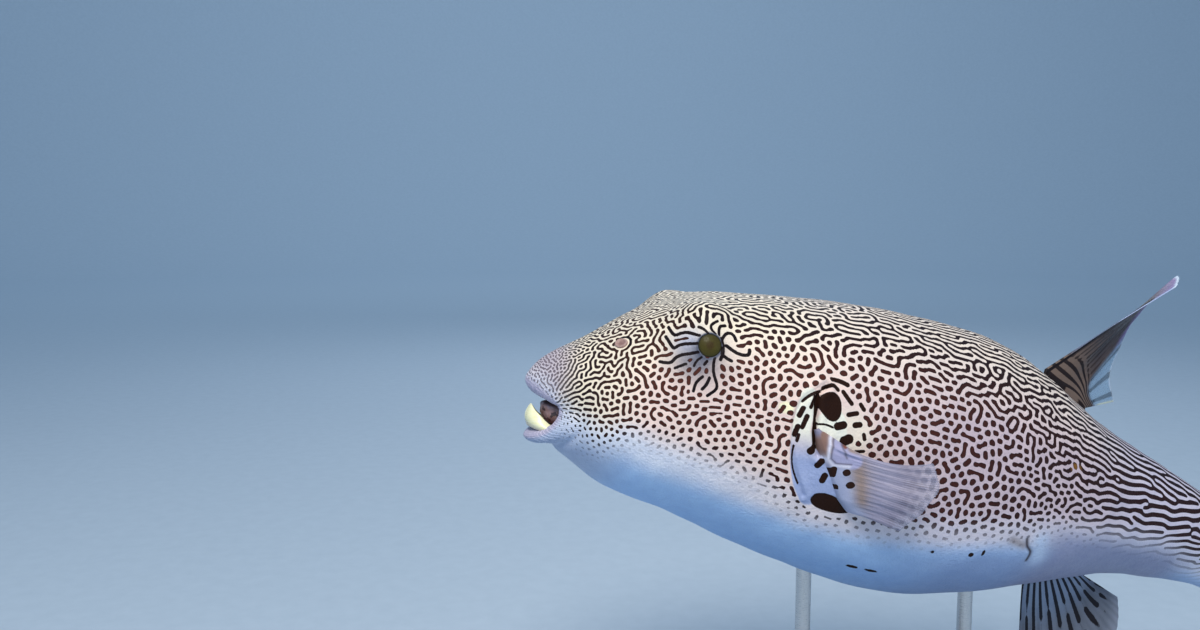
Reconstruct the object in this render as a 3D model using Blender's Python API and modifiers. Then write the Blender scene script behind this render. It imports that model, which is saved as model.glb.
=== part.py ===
"""A map puffer (Arothron mappa) as a life-size museum model on a plain stand.

Units are metres and +Z is up.  The fish is modelled in its own body frame, with
its snout at x = 0, its tail towards +X and its left flank towards -Y.  An empty
then pitches it nose up and lifts it over the stand, whose underside is centred on
the origin.
"""

import math

import bmesh
import bpy
import numpy as np
from mathutils import Matrix, Vector

# ---- Driving dimensions -------------------------------------------------------
NOSE_UP = math.radians(14.0)
SNOUT_AT = (-0.205, 0.0, 0.262)
GAP = 0.0003  # left between pieces that touch

# Where the body is parted: through the gill opening, and behind the dorsal fin
GILL_CUT, GILL_CUT_LEAN = 0.143, -NOSE_UP
STALK_CUT = 0.392

# Eyes: the ball, its centre, and the brow that swells over it
EYE_RADIUS = 0.0115
EYE_AT = (0.0785, 0.0473, 0.0523)
BROW_AT = (0.0700, 0.0430, 0.0690)
BROW_SPREAD = 0.0110
BROW_HEIGHT = 0.0105

# Beak: two pairs of fused teeth on a U-shaped jaw
JAW_HALF_WIDTH, JAW_DEPTH = 0.0150, 0.0170
TOOTH_THICK = 0.0036
FACE_LEAN = 0.25

NOSTRIL_AT = (0.0375, 0.0330, 0.0432)
NOSTRIL_SIZE = (0.0034, 0.0030, 0.0030)

# The stand
BASE_LENGTH, BASE_WIDTH, BASE_THICK = 0.300, 0.170, 0.016
BASE_CORNER, BASE_EDGE = 0.034, 0.0035
ROD_RADIUS = 0.0045
ROD_AT = (-0.040, 0.066)  # along X, from the middle of the base
ROD_INTO_BASE, ROD_INTO_BELLY = 0.009, 0.012
COLLAR_RADIUS, COLLAR_HEIGHT = 0.0130, 0.0060

# Body stations, from the throat out over the lips and back to the tail root:
# x, half width, top, middle and bottom heights, then the superellipse powers of
# the upper and the lower half, the setback, which draws the sides of a ring back
# and so rounds the mouth in plan, and the lean, which draws its upper side forward.
STATIONS = (
    # mouth lining
    (0.040, 0.0080, 0.0060, 0.0005, -0.0050, 2.0, 2.0, 0.000, 0.25),
    (0.026, 0.0140, 0.0080, 0.0000, -0.0090, 2.2, 2.2, 0.002, 0.25),
    (0.013, 0.0165, 0.0060, 0.0000, -0.0125, 2.3, 2.3, 0.005, 0.25),
    # lips
    (0.004, 0.0170, 0.0045, 0.0000, -0.0145, 2.2, 2.2, 0.013, 0.25),
    (0.000, 0.0190, 0.0115, -0.0010, -0.0185, 2.1, 2.1, 0.0155, 0.25),
    (0.002, 0.0235, 0.0165, -0.0010, -0.0208, 2.0, 2.0, 0.0165, 0.24),
    (0.009, 0.0300, 0.0254, 0.0000, -0.0219, 2.0, 2.0, 0.0140, 0.15),
    # head
    (0.026, 0.0420, 0.0400, 0.0040, -0.0278, 2.1, 2.1, 0.007, 0.05),
    (0.050, 0.0540, 0.0608, 0.0120, -0.0382, 2.4, 2.2, 0.002, 0.00),
    (0.080, 0.0630, 0.0773, 0.0200, -0.0437, 2.6, 2.2, 0.000, 0.00),
    (0.120, 0.0690, 0.0864, 0.0240, -0.0533, 2.5, 2.2, 0.000, 0.00),
    # trunk
    (0.170, 0.0740, 0.0931, 0.0200, -0.0631, 2.3, 2.2, 0.000, 0.00),
    (0.230, 0.0740, 0.0956, 0.0130, -0.0679, 2.1, 2.2, 0.000, 0.00),
    (0.280, 0.0690, 0.0896, 0.0080, -0.0577, 2.0, 2.2, 0.000, 0.00),
    (0.325, 0.0590, 0.0700, 0.0050, -0.0450, 2.0, 2.1, 0.000, 0.00),
    # tail stalk
    (0.370, 0.0430, 0.0523, 0.0040, -0.0341, 2.0, 2.0, 0.000, 0.00),
    (0.410, 0.0300, 0.0400, 0.0030, -0.0304, 2.0, 2.0, 0.000, 0.00),
    (0.440, 0.0190, 0.0309, 0.0010, -0.0296, 2.0, 2.0, 0.000, 0.00),
    (0.462, 0.0075, 0.0285, 0.0000, -0.0308, 2.0, 2.0, 0.000, 0.00),
)

# Fins, in the body frame: the two ends of each base, the tips of a few rays from
# the leading edge to the trailing edge, the way in from the base to the root, how
# far the leading ray bows, and the thickness at the foot and at the edge.
FINS = {
    "dorsal_fin": dict(
        base=((0.3080, 0.000, 0.0830), (0.3420, 0.000, 0.0655)),
        tips=(
            (0.3820, 0.000, 0.1530), (0.3910, 0.009, 0.1615), (0.3900, 0.015, 0.1560), (0.3795, 0.020, 0.1370),
            (0.3690, 0.016, 0.1150), (0.3595, 0.008, 0.0890), (0.3635, 0.003, 0.0735),
        ),
        root=(0.000, 0.000, -0.010), bow=(0.000, 0.000, 0.000), thick=(0.0055, 0.0009),
    ),
    "anal_fin": dict(
        base=((0.331, 0.000, -0.0455), (0.368, 0.000, -0.0360)),
        tips=(
            (0.353, 0.000, -0.1270), (0.364, -0.003, -0.1350), (0.377, -0.006, -0.1320), (0.391, -0.008, -0.1130),
            (0.400, -0.007, -0.0880), (0.404, -0.004, -0.0640), (0.401, -0.001, -0.0470),
        ),
        root=(0.000, 0.000, 0.010), bow=(-0.002, 0.000, 0.000), thick=(0.0055, 0.0009),
    ),
    "caudal_fin": dict(
        base=((0.4600, 0.000, 0.0265), (0.4600, 0.000, -0.0285)),
        tips=(
            (0.537, 0.001, 0.0405), (0.553, 0.004, 0.0425), (0.567, 0.006, 0.0350), (0.575, 0.008, 0.0180),
            (0.578, 0.009, -0.0020), (0.574, 0.008, -0.0225), (0.565, 0.006, -0.0395), (0.551, 0.004, -0.0465),
            (0.535, 0.001, -0.0440),
        ),
        root=(-0.012, 0.000, 0.000), bow=(0.000, 0.000, 0.001), thick=(0.0070, 0.0010),
    ),
    "pectoral_fin": dict(
        base=((0.1395, 0.0725, 0.0265), (0.1695, 0.0712, -0.0130)),
        tips=(
            (0.1950, 0.0930, 0.0238), (0.1985, 0.0965, 0.0180), (0.1985, 0.0985, 0.0095), (0.1950, 0.0980, 0.0010),
            (0.1915, 0.0945, -0.0070), (0.1890, 0.0885, -0.0145),
        ),
        root=(0.000, -0.012, 0.000), bow=(0.002, 0.000, -0.007), thick=(0.0100, 0.0009),
    ),
}
FIN_RAYS, FIN_STEPS = 13, 8


# ---- Curves and surfaces ------------------------------------------------------
def natural_spline(knots, values):
    """A smooth curve through the values at the knots; values may have several columns."""
    knots, values = np.asarray(knots, float), np.asarray(values, float)
    step = np.diff(knots)
    n = len(knots)
    matrix = np.eye(n)
    right = np.zeros_like(values)
    for i in range(1, n - 1):
        matrix[i, i - 1 : i + 2] = step[i - 1], 2 * (step[i - 1] + step[i]), step[i]
        right[i] = 6 * ((values[i + 1] - values[i]) / step[i] - (values[i] - values[i - 1]) / step[i - 1])
    bend = np.linalg.solve(matrix, right)

    def curve(at):
        at = np.asarray(at, float)
        i = np.clip(np.searchsorted(knots, at) - 1, 0, n - 2)
        h, a, b = step[i], knots[i + 1] - at, at - knots[i]
        h, a, b = (v[..., None] for v in (h, a, b))
        return (
            (bend[i] * a**3 + bend[i + 1] * b**3) / (6 * h)
            + (values[i] / h - bend[i] * h / 6) * a
            + (values[i + 1] / h - bend[i + 1] * h / 6) * b
        )

    return curve


def body_curve(stations):
    """The stations as smooth functions of one number that runs along the skin."""
    table = np.array(stations)
    girth = (table[:, 1] + table[:, 2] - table[:, 4]) / 3
    along = np.hypot(np.diff(table[:, 0]), np.diff(girth))
    knots = np.concatenate([[0], np.cumsum(along)])
    return natural_spline(knots, table), knots


def body_rings(curve, along, angles):
    """Points of the skin, one ring for each place along it, as (rings, angles, 3)."""
    x, width, top, mid, bottom, up, down, setback, lean = np.moveaxis(curve(along), -1, 0)[..., None]
    cos, sin = np.cos(angles)[None], np.sin(angles)[None]
    power = np.where(sin > 0, 2 / up, 2 / down)
    side = np.sign(cos) * np.abs(cos) ** power
    rise = np.sign(sin) * np.abs(sin) ** power
    y = width * side
    z = mid + np.where(sin > 0, top - mid, mid - bottom) * rise
    skin = np.stack([x + setback * cos**2 - lean * z, y, z], axis=-1)
    return skin + brow(skin, mid)


def brow(skin, mid):
    """How far each point is pushed out from the body's axis by the swellings over the eyes."""
    out = np.stack([0 * skin[..., 0], skin[..., 1], skin[..., 2] - mid], axis=-1)
    out /= np.linalg.norm(out, axis=-1, keepdims=True)
    off = np.stack([skin[..., 0], np.abs(skin[..., 1]), skin[..., 2]], axis=-1) - BROW_AT
    near = np.exp(-(off**2).sum(axis=-1) / (2 * BROW_SPREAD**2))
    return BROW_HEIGHT * near[..., None] * out


def fin_sheet(base, tips, root, bow, rays, steps):
    """The middle sheet of a fin, as (steps, rays, 3), from inside the body out to its edge."""
    across = np.linspace(0, 1, rays)[:, None]
    foot = np.array(base[0]) * (1 - across) + np.array(base[1]) * across
    tip = natural_spline(np.linspace(0, 1, len(tips)), tips)(across[:, 0])
    out = np.linspace(0, 1, steps)[:, None, None]
    curl = 4 * out * (1 - out) * (1 - across[None]) ** 3 * np.array(bow)
    return np.concatenate([foot[None] + np.array(root), foot[None] + out * (tip - foot)[None] + curl])


# ---- Objects ------------------------------------------------------------------
def material(name, colour, roughness, metallic=0.0):
    made = bpy.data.materials.new(name)
    made.use_nodes = True
    shader = made.node_tree.nodes["Principled BSDF"]
    shader.inputs["Base Color"].default_value = (*colour, 1.0)
    shader.inputs["Roughness"].default_value = roughness
    shader.inputs["Metallic"].default_value = metallic
    return made


def new_object(name, mesh, made_of, parent=None, collection=None):
    obj = bpy.data.objects.new(name, mesh)
    (collection or PARTS).objects.link(obj)
    obj.parent = parent
    if made_of:
        mesh.materials.append(made_of)
    return obj


def finish(bm, name):
    """The bmesh as a smooth mesh whose faces point out."""
    bmesh.ops.recalc_face_normals(bm, faces=bm.faces)
    mesh = bpy.data.meshes.new(name)
    bm.to_mesh(mesh)
    bm.free()
    mesh.shade_smooth()
    return mesh


def cutter(obj):
    """Makes the object a helper that only Booleans see."""
    obj.hide_render = True
    obj.display_type = "WIRE"
    return obj


def grown(obj):
    """A cutter that is the object and the gap round it."""
    copy = bpy.data.objects.new(obj.name + "_grown", obj.data)
    CUTTERS.objects.link(copy)
    copy.parent = obj.parent
    copy.matrix_basis = obj.matrix_basis
    swell = copy.modifiers.new("gap", "DISPLACE")
    swell.strength = GAP
    swell.mid_level = 0.0
    return cutter(copy)


def cut(obj, *tools):
    for tool in tools:
        boolean = obj.modifiers.new("cut_" + tool.name, "BOOLEAN")
        boolean.operation = "DIFFERENCE"
        boolean.object = tool


def loft_mesh(name, rings):
    """A closed solid whose skin runs through the rings, capped at both ends."""
    bm = bmesh.new()
    loops = [[bm.verts.new(p) for p in ring] for ring in rings]
    count = len(loops[0])
    for a, b in zip(loops, loops[1:]):
        for i in range(count):
            j = (i + 1) % count
            bm.faces.new((a[i], a[j], b[j], b[i]))
    bm.faces.new(loops[0][::-1])
    bm.faces.new(loops[-1])
    return finish(bm, name)


def body_mesh():
    curve, knots = body_curve(STATIONS)
    along = np.concatenate([
        np.linspace(knots[0], knots[3], 4),
        np.linspace(knots[3], knots[6], 7)[1:],
        np.linspace(knots[6], knots[11], 19)[1:],
        np.linspace(knots[11], knots[-1], 15)[1:],
    ])
    angles = np.linspace(0, 2 * math.pi, 38, endpoint=False)
    return loft_mesh("body", body_rings(curve, along, angles))


def half_space(name, x, lean, side):
    """A cutter that takes everything before (side -1) or behind (side 1) a plane at x."""
    bm = bmesh.new()
    bmesh.ops.create_cube(bm, size=1.0)
    bmesh.ops.translate(bm, verts=bm.verts, vec=(side * 0.5, 0, 0))
    obj = new_object(name, finish(bm, name), None, fish, CUTTERS)
    obj.location = (x - side * GAP / 2, 0, 0)
    obj.rotation_euler = (0, lean, 0)
    return cutter(obj)


def fin_mesh(name, base, tips, root, bow, thick, side=1):
    """A thin closed solid round the fin's sheet, thick at the foot and thin at the edge."""
    sheet = fin_sheet(base, tips, root, bow, FIN_RAYS, FIN_STEPS)
    sheet[..., 1] *= side
    normal = np.cross(np.gradient(sheet, axis=0), np.gradient(sheet, axis=1))
    normal /= np.linalg.norm(normal, axis=-1, keepdims=True)
    out = np.concatenate([[0], np.linspace(0, 1, FIN_STEPS)])[:, None]
    fringe = np.minimum(1, 0.35 + 4 * np.linspace(0, 1, FIN_RAYS) * np.linspace(1, 0, FIN_RAYS))[None]
    half = (thick[1] + (thick[0] - thick[1]) * np.exp(-((out / 0.30) ** 2)) * fringe) / 2
    bm = bmesh.new()
    faces = []
    for turn in (1, -1):
        points = sheet + turn * half[..., None] * normal
        faces.append([[bm.verts.new(p) for p in row] for row in points])
    front, back = faces
    for i in range(FIN_STEPS):
        for j in range(FIN_RAYS - 1):
            bm.faces.new((front[i][j], front[i][j + 1], front[i + 1][j + 1], front[i + 1][j]))
            bm.faces.new((back[i][j], back[i + 1][j], back[i + 1][j + 1], back[i][j + 1]))
    rim = [(i, 0) for i in range(FIN_STEPS)] + [(FIN_STEPS, j) for j in range(FIN_RAYS)]
    rim += [(i, FIN_RAYS - 1) for i in range(FIN_STEPS - 1, -1, -1)]
    rim += [(0, j) for j in range(FIN_RAYS - 2, 0, -1)]
    for (i, j), (k, m) in zip(rim, rim[1:] + rim[:1]):
        bm.faces.new((front[i][j], front[k][m], back[k][m], back[i][j]))
    return finish(bm, name)


def beak_mesh(name, gum, edge, front):
    """Fused teeth round the jaw, from one corner to the other, with a sharp biting edge.

    gum and edge are the heights of the two long sides, and front is how far back
    the beak's foremost point stands; like the lips, it leans with the face.
    """
    rings = []
    middle = (gum + edge) / 2
    for angle in np.radians(np.linspace(-72, 72, 17)):
        shrink = 1 - 0.5 * math.sin(angle) ** 2
        profile = (
            (0.0004, gum), (TOOTH_THICK, gum), (TOOTH_THICK, middle),
            (TOOTH_THICK * 0.45, edge), (0.0003, edge), (-0.0006, middle),
        )
        ring = []
        for inward, height in profile:
            height = middle + (height - middle) * shrink
            x = front + JAW_DEPTH - (JAW_DEPTH - inward) * math.cos(angle)
            ring.append((x - FACE_LEAN * height, (JAW_HALF_WIDTH - inward) * math.sin(angle), height))
        rings.append(ring)
    return loft_mesh(name, rings)


def ball_mesh(name, radius, scale=(1, 1, 1), around=18, up=10):
    bm = bmesh.new()
    bmesh.ops.create_uvsphere(bm, u_segments=around, v_segments=up, radius=radius)
    bmesh.ops.scale(bm, verts=bm.verts, vec=scale)
    return finish(bm, name)


def base_mesh():
    """A plate with round corners and softened top edges, its underside at z = 0."""
    bm = bmesh.new()
    bmesh.ops.create_cube(bm, size=1.0)
    bmesh.ops.scale(bm, verts=bm.verts, vec=(BASE_LENGTH, BASE_WIDTH, BASE_THICK))
    bmesh.ops.translate(bm, verts=bm.verts, vec=(0, 0, BASE_THICK / 2))
    upright = [e for e in bm.edges if abs(e.verts[0].co.z - e.verts[1].co.z) > BASE_THICK / 2]
    bmesh.ops.bevel(bm, geom=upright, offset=BASE_CORNER, segments=8, profile=0.5, affect="EDGES")
    rim = [e for e in bm.edges if min(v.co.z for v in e.verts) > BASE_THICK * 0.9]
    bmesh.ops.bevel(bm, geom=rim, offset=BASE_EDGE, segments=3, profile=0.5, affect="EDGES")
    mesh = finish(bm, "stand_base")
    mesh.set_sharp_from_angle(angle=math.radians(35))
    return mesh


def rod_object(name, x, length):
    """A turned rod with a collar, its spigot below the base's top and its tip in the belly."""
    profile = (
        (0.0, length), (ROD_RADIUS, length), (ROD_RADIUS, COLLAR_HEIGHT + 0.002),
        (ROD_RADIUS + 0.002, COLLAR_HEIGHT), (COLLAR_RADIUS - 0.0015, COLLAR_HEIGHT),
        (COLLAR_RADIUS, COLLAR_HEIGHT - 0.0015), (COLLAR_RADIUS, GAP),
        (ROD_RADIUS, GAP), (ROD_RADIUS, -ROD_INTO_BASE), (0.0, -ROD_INTO_BASE),
    )
    bm = bmesh.new()
    verts = [bm.verts.new((r, 0, z)) for r, z in profile]
    for a, b in zip(verts, verts[1:]):
        bm.edges.new((a, b))
    mesh = bpy.data.meshes.new(name)
    bm.to_mesh(mesh)
    bm.free()
    obj = new_object(name, mesh, STEEL)
    obj.location = (x, 0, BASE_THICK)
    turn = obj.modifiers.new("turn", "SCREW")
    turn.steps = turn.render_steps = 20
    turn.use_merge_vertices = True
    turn.merge_threshold = 0.00005
    turn.use_smooth_shade = True
    return obj


def rod_hole(name, x, low, high):
    """A cutter for the hole that a rod stands in."""
    bm = bmesh.new()
    bmesh.ops.create_cone(
        bm, cap_ends=True, segments=20, radius1=ROD_RADIUS + GAP, radius2=ROD_RADIUS + GAP, depth=high - low
    )
    obj = new_object(name, finish(bm, name), None, None, CUTTERS)
    obj.location = (x, 0, (low + high) / 2)
    return cutter(obj)


def to_world(point):
    """A point of the body frame in world coordinates."""
    return Matrix.Translation(SNOUT_AT) @ Matrix.Rotation(NOSE_UP, 4, "Y") @ Vector(point)


def belly_height(x):
    """World height of the lowest skin on the midline above the world place x."""
    curve, knots = body_curve(STATIONS)
    keel = [to_world((s, 0, low)) for s, low in curve(np.linspace(knots[7], knots[-1], 200))[:, [0, 4]]]
    return min(keel, key=lambda p: abs(p.x - x)).z


# ---- The scene ----------------------------------------------------------------
for old in list(bpy.data.objects):
    bpy.data.objects.remove(old)
PARTS = bpy.data.collections.new("map_puffer")
CUTTERS = bpy.data.collections.new("cutters")
for collection in (PARTS, CUTTERS):
    bpy.context.scene.collection.children.link(collection)

SKIN = material("skin", (0.75, 0.62, 0.52), 0.45)
FIN = material("fin", (0.42, 0.38, 0.46), 0.40)
EYE = material("eye", (0.10, 0.11, 0.03), 0.08)
BEAK = material("beak", (0.86, 0.80, 0.52), 0.30)
STEEL = material("steel", (0.60, 0.61, 0.62), 0.28, 1.0)
WOOD = material("wood", (0.05, 0.035, 0.028), 0.35)

fish = bpy.data.objects.new("fish_pose", None)
PARTS.objects.link(fish)
fish.rotation_euler = (0, NOSE_UP, 0)
fish.location = SNOUT_AT

flesh = body_mesh()
whole = new_object("whole_body", flesh, SKIN, fish, CUTTERS)
cutter(whole)
whole_grown = grown(whole)

head = new_object("head", flesh, None, fish)
trunk = new_object("trunk", flesh, None, fish)
tail_stalk = new_object("tail_stalk", flesh, None, fish)
cut(head, half_space("behind_gill", GILL_CUT, GILL_CUT_LEAN, 1))
cut(trunk, half_space("before_gill", GILL_CUT, GILL_CUT_LEAN, -1))
cut(trunk, half_space("behind_trunk", STALK_CUT, 0, 1))
cut(tail_stalk, half_space("before_stalk", STALK_CUT, 0, -1))

for side, y_sign in (("left", -1), ("right", 1)):
    ball = new_object("eye_" + side, ball_mesh("eye", EYE_RADIUS), EYE, fish)
    ball.location = (EYE_AT[0], y_sign * EYE_AT[1], EYE_AT[2])
    cut(head, grown(ball))
    flap_mesh = ball_mesh("nostril", 1.0, NOSTRIL_SIZE, 12, 8)
    flap = new_object("nostril_" + side, flap_mesh, SKIN, fish)
    flap.location = (NOSTRIL_AT[0], y_sign * NOSTRIL_AT[1], NOSTRIL_AT[2])
    cut(flap, whole_grown)
    pectoral = new_object(
        "pectoral_fin_" + side, fin_mesh("pectoral_fin", **FINS["pectoral_fin"], side=y_sign), FIN, fish
    )
    cut(pectoral, whole_grown)

for name in ("dorsal_fin", "anal_fin", "caudal_fin"):
    cut(new_object(name, fin_mesh(name, **FINS[name]), FIN, fish), whole_grown)

upper = new_object("beak_upper", beak_mesh("beak_upper", 0.0095, 0.0022, 0.0030), BEAK, fish)
lower = new_object("beak_lower", beak_mesh("beak_lower", -0.0150, -0.0030, -0.0008), BEAK, fish)
cut(head, grown(upper), grown(lower))

stand_base = new_object("stand_base", base_mesh(), WOOD)
for place, x in zip(("front", "rear"), ROD_AT):
    belly = belly_height(x)
    rod_object("stand_rod_" + place, x, belly + ROD_INTO_BELLY - BASE_THICK)
    cut(trunk, rod_hole("belly_hole_" + place, x, belly - 0.05, belly + ROD_INTO_BELLY + GAP))
    cut(stand_base, rod_hole("base_hole_" + place, x, BASE_THICK - ROD_INTO_BASE - GAP, BASE_THICK + 0.01))
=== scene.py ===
"""The map puffer model dressed for its picture: skin, markings, fins, eyes, beak and stand.

The body and the fins use the same sizes as the solids, in the fish's own body frame
(snout at x = 0, tail towards +X, left flank towards -Y), and are then placed by the
pose.  Most of the markings are grown on the skin itself, by a reaction of short-range
activation and longer-range inhibition; the named marks are laid down one by one.
"""

import math

import bmesh
import bpy
import numpy as np
from mathutils import Matrix, Vector


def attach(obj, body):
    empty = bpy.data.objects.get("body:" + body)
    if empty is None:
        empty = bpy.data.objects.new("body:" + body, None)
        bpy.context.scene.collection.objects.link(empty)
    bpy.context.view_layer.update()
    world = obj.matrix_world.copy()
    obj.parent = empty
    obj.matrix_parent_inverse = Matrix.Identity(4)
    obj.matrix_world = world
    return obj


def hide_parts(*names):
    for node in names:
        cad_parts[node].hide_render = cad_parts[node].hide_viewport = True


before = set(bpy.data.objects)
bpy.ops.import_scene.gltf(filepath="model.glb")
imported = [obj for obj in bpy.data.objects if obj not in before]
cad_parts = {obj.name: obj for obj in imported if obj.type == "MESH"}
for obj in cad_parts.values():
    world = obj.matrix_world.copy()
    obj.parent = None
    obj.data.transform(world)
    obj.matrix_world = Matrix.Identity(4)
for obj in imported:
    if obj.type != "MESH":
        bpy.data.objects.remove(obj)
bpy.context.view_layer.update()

# ---- The body's sizes, in metres ----
NOSE_UP = math.radians(14)
SNOUT_AT = (-0.205, 0, 0.262)
SKIN_INSET = 0.0003

# The places of the eye and the nostril were guided by points read off the photo.
EYE_RADIUS = 0.0115
EYE_AT = np.array((0.0785, 0.0473, 0.0523))
EYE_AXIS = np.array((-0.154, 0.966, 0.206))
EYE_OPENING = 0.0064
EYE_SHADE_AT = np.array((0.073, 0.0572, 0.045))
EYE_GLEAM_AT = np.array((0.0665, 0.053, 0.053))
BROW_AT = (0.07, 0.043, 0.069)
BROW_SPREAD, BROW_HEIGHT = 0.011, 0.0105
NOSTRIL_AT = np.array((0.038, 0.03, 0.0433))

# x, half width, top, middle, bottom, powers of the upper and lower half, setback, lean.
# The tops and bottoms in the last 14 rows were fitted by a helper program to points that
# were picked on the body's outline in the photo, and a few were then changed by hand.
STATIONS = (
    # mouth lining
    (0.04, 0.008, 0.006, 0.0005, -0.005, 2, 2, 0, 0.25),
    (0.026, 0.014, 0.008, 0, -0.009, 2.2, 2.2, 0.002, 0.25),
    (0.013, 0.0165, 0.006, 0, -0.0125, 2.3, 2.3, 0.005, 0.25),
    # lips
    (0.004, 0.017, 0.0045, 0, -0.0145, 2.2, 2.2, 0.013, 0.25),
    (0, 0.019, 0.0115, -0.001, -0.0185, 2.1, 2.1, 0.0155, 0.25),
    (0.002, 0.0235, 0.0165, -0.001, -0.0208, 2, 2, 0.0165, 0.24),
    (0.009, 0.03, 0.0254, 0, -0.0219, 2, 2, 0.014, 0.15),
    # head
    (0.026, 0.042, 0.04, 0.004, -0.0278, 2.1, 2.1, 0.007, 0.05),
    (0.05, 0.054, 0.0608, 0.012, -0.0382, 2.4, 2.2, 0.002, 0),
    (0.08, 0.063, 0.0773, 0.02, -0.0437, 2.6, 2.2, 0, 0),
    (0.12, 0.069, 0.0864, 0.024, -0.0533, 2.5, 2.2, 0, 0),
    # trunk
    (0.17, 0.074, 0.0931, 0.02, -0.0631, 2.3, 2.2, 0, 0),
    (0.23, 0.074, 0.0956, 0.013, -0.0679, 2.1, 2.2, 0, 0),
    (0.28, 0.069, 0.0896, 0.008, -0.0577, 2, 2.2, 0, 0),
    (0.325, 0.059, 0.07, 0.005, -0.045, 2, 2.1, 0, 0),
    # tail stalk
    (0.37, 0.043, 0.0523, 0.004, -0.0341, 2, 2, 0, 0),
    (0.41, 0.03, 0.04, 0.003, -0.0304, 2, 2, 0, 0),
    (0.44, 0.019, 0.0309, 0.001, -0.0296, 2, 2, 0, 0),
    (0.462, 0.0075, 0.0285, 0, -0.0308, 2, 2, 0, 0),
)


# ---- Curves and surfaces ----
def natural_spline(knots, values):
    """A smooth curve through the values at the knots; values may have several columns."""
    knots, values = np.asarray(knots, float), np.asarray(values, float)
    step = np.diff(knots)
    n = len(knots)
    matrix = np.eye(n)
    right = np.zeros_like(values)
    for i in range(1, n - 1):
        matrix[i, i - 1 : i + 2] = step[i - 1], 2 * (step[i - 1] + step[i]), step[i]
        right[i] = 6 * ((values[i + 1] - values[i]) / step[i] - (values[i] - values[i - 1]) / step[i - 1])
    bend = np.linalg.solve(matrix, right)

    def curve(at):
        at = np.asarray(at, float)
        i = np.clip(np.searchsorted(knots, at) - 1, 0, n - 2)
        h, a, b = step[i], knots[i + 1] - at, at - knots[i]
        h, a, b = (v[..., None] for v in (h, a, b))
        return (
            (bend[i] * a**3 + bend[i + 1] * b**3) / (6 * h)
            + (values[i] / h - bend[i] * h / 6) * a
            + (values[i + 1] / h - bend[i + 1] * h / 6) * b
        )

    return curve


def smooth_path(places, count, endpoint=True):
    """Points at even steps along a smooth path through the places."""
    return natural_spline(np.linspace(0, 1, len(places)), places)(np.linspace(0, 1, count, endpoint=endpoint))


def body_curve(stations):
    """The stations as smooth functions of one number that runs along the skin."""
    table = np.array(stations)
    girth = (table[:, 1] + table[:, 2] - table[:, 4]) / 3
    along = np.hypot(np.diff(table[:, 0]), np.diff(girth))
    knots = np.concatenate([[0], np.cumsum(along)])
    return natural_spline(knots, table), knots


def body_rings(curve, along, angles):
    """Points of the skin, one ring for each place along it, as (rings, angles, 3)."""
    x, width, top, mid, bottom, up, down, setback, lean = np.moveaxis(curve(along), -1, 0)[..., None]
    cos, sin = np.cos(angles)[None], np.sin(angles)[None]
    power = np.where(sin > 0, 2 / up, 2 / down)
    side = np.sign(cos) * np.abs(cos) ** power
    rise = np.sign(sin) * np.abs(sin) ** power
    y = width * side
    z = mid + np.where(sin > 0, top - mid, mid - bottom) * rise
    skin = np.stack([x + setback * cos**2 - lean * z, y, z], axis=-1)
    return skin + brow(skin, mid)


def brow(skin, mid):
    """How far each point is pushed out from the body's axis by the swellings over the eyes."""
    out = unit(np.stack([0 * skin[..., 0], skin[..., 1], skin[..., 2] - mid], axis=-1))
    off = np.stack([skin[..., 0], np.abs(skin[..., 1]), skin[..., 2]], axis=-1) - BROW_AT
    near = np.exp(-(off**2).sum(axis=-1) / (2 * BROW_SPREAD**2))
    return BROW_HEIGHT * near[..., None] * out


def ramp(value, start, end):
    """A smooth step from 0 at start to 1 at end."""
    t = np.clip((value - start) / (end - start), 0, 1)
    return t * t * (3 - 2 * t)


def bump(value, centre, spread):
    return np.exp(-(((value - centre) / spread) ** 2))


def mix(a, b, t):
    return a * (1 - t) + b * t


FINE_STEPS, FINE_ANGLES = 6000, 20001
SKIN_AROUND = 576


def even_steps(stops, spacing):
    """Places whose spacing follows the given spacings at the given stops."""
    fine = np.linspace(stops[0], stops[-1], FINE_STEPS)
    density = 1 / np.interp(fine, stops, spacing)
    total = np.concatenate([[0], np.cumsum((density[1:] + density[:-1]) / 2 * np.diff(fine))])
    count = int(round(total[-1]))
    return np.interp(np.linspace(0, total[-1], count + 1), total, fine)


def even_angles(count):
    """Angles that lie evenly round a middle section, and further apart under the belly."""
    fine = np.linspace(-math.pi / 2, 1.5 * math.pi, FINE_ANGLES)
    ring = body_rings(CURVE, np.array([KNOTS[11]]), fine)[0]
    step = length(np.diff(ring, axis=0))
    middle = (fine[1:] + fine[:-1]) / 2
    step *= 1 - 0.5 * np.maximum(bump(middle, -math.pi / 2, 0.8), bump(middle, 1.5 * math.pi, 0.8))
    total = np.concatenate([[0], np.cumsum(step)])
    return np.interp(np.arange(count) * total[-1] / count, total, fine)


def length(v):
    return np.linalg.norm(v, axis=-1)


def unit(v):
    return v / length(v)[..., None]


def slopes(grid):
    """How the points of a grid that closes round its second side change along both sides."""
    return np.gradient(grid, axis=0), (np.roll(grid, -1, axis=1) - np.roll(grid, 1, axis=1)) / 2


def normals_of(grid):
    """Outward normals of the skin's grid."""
    along, around = slopes(grid)
    return unit(np.cross(around, along))


CURVE, KNOTS = body_curve(STATIONS)
ALONG = even_steps(
    (0, KNOTS[2], KNOTS[3], KNOTS[6], 0.076, 0.12, 0.16, 0.21, 0.26, 0.38, 0.43, KNOTS[-1]),
    (0.0015, 0.0006, 0.0004, 0.00035, 0.0004, 0.00045, 0.00055, 0.0006, 0.0006, 0.0007, 0.0007, 0.0007),
)
ANGLES = even_angles(SKIN_AROUND)


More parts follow.
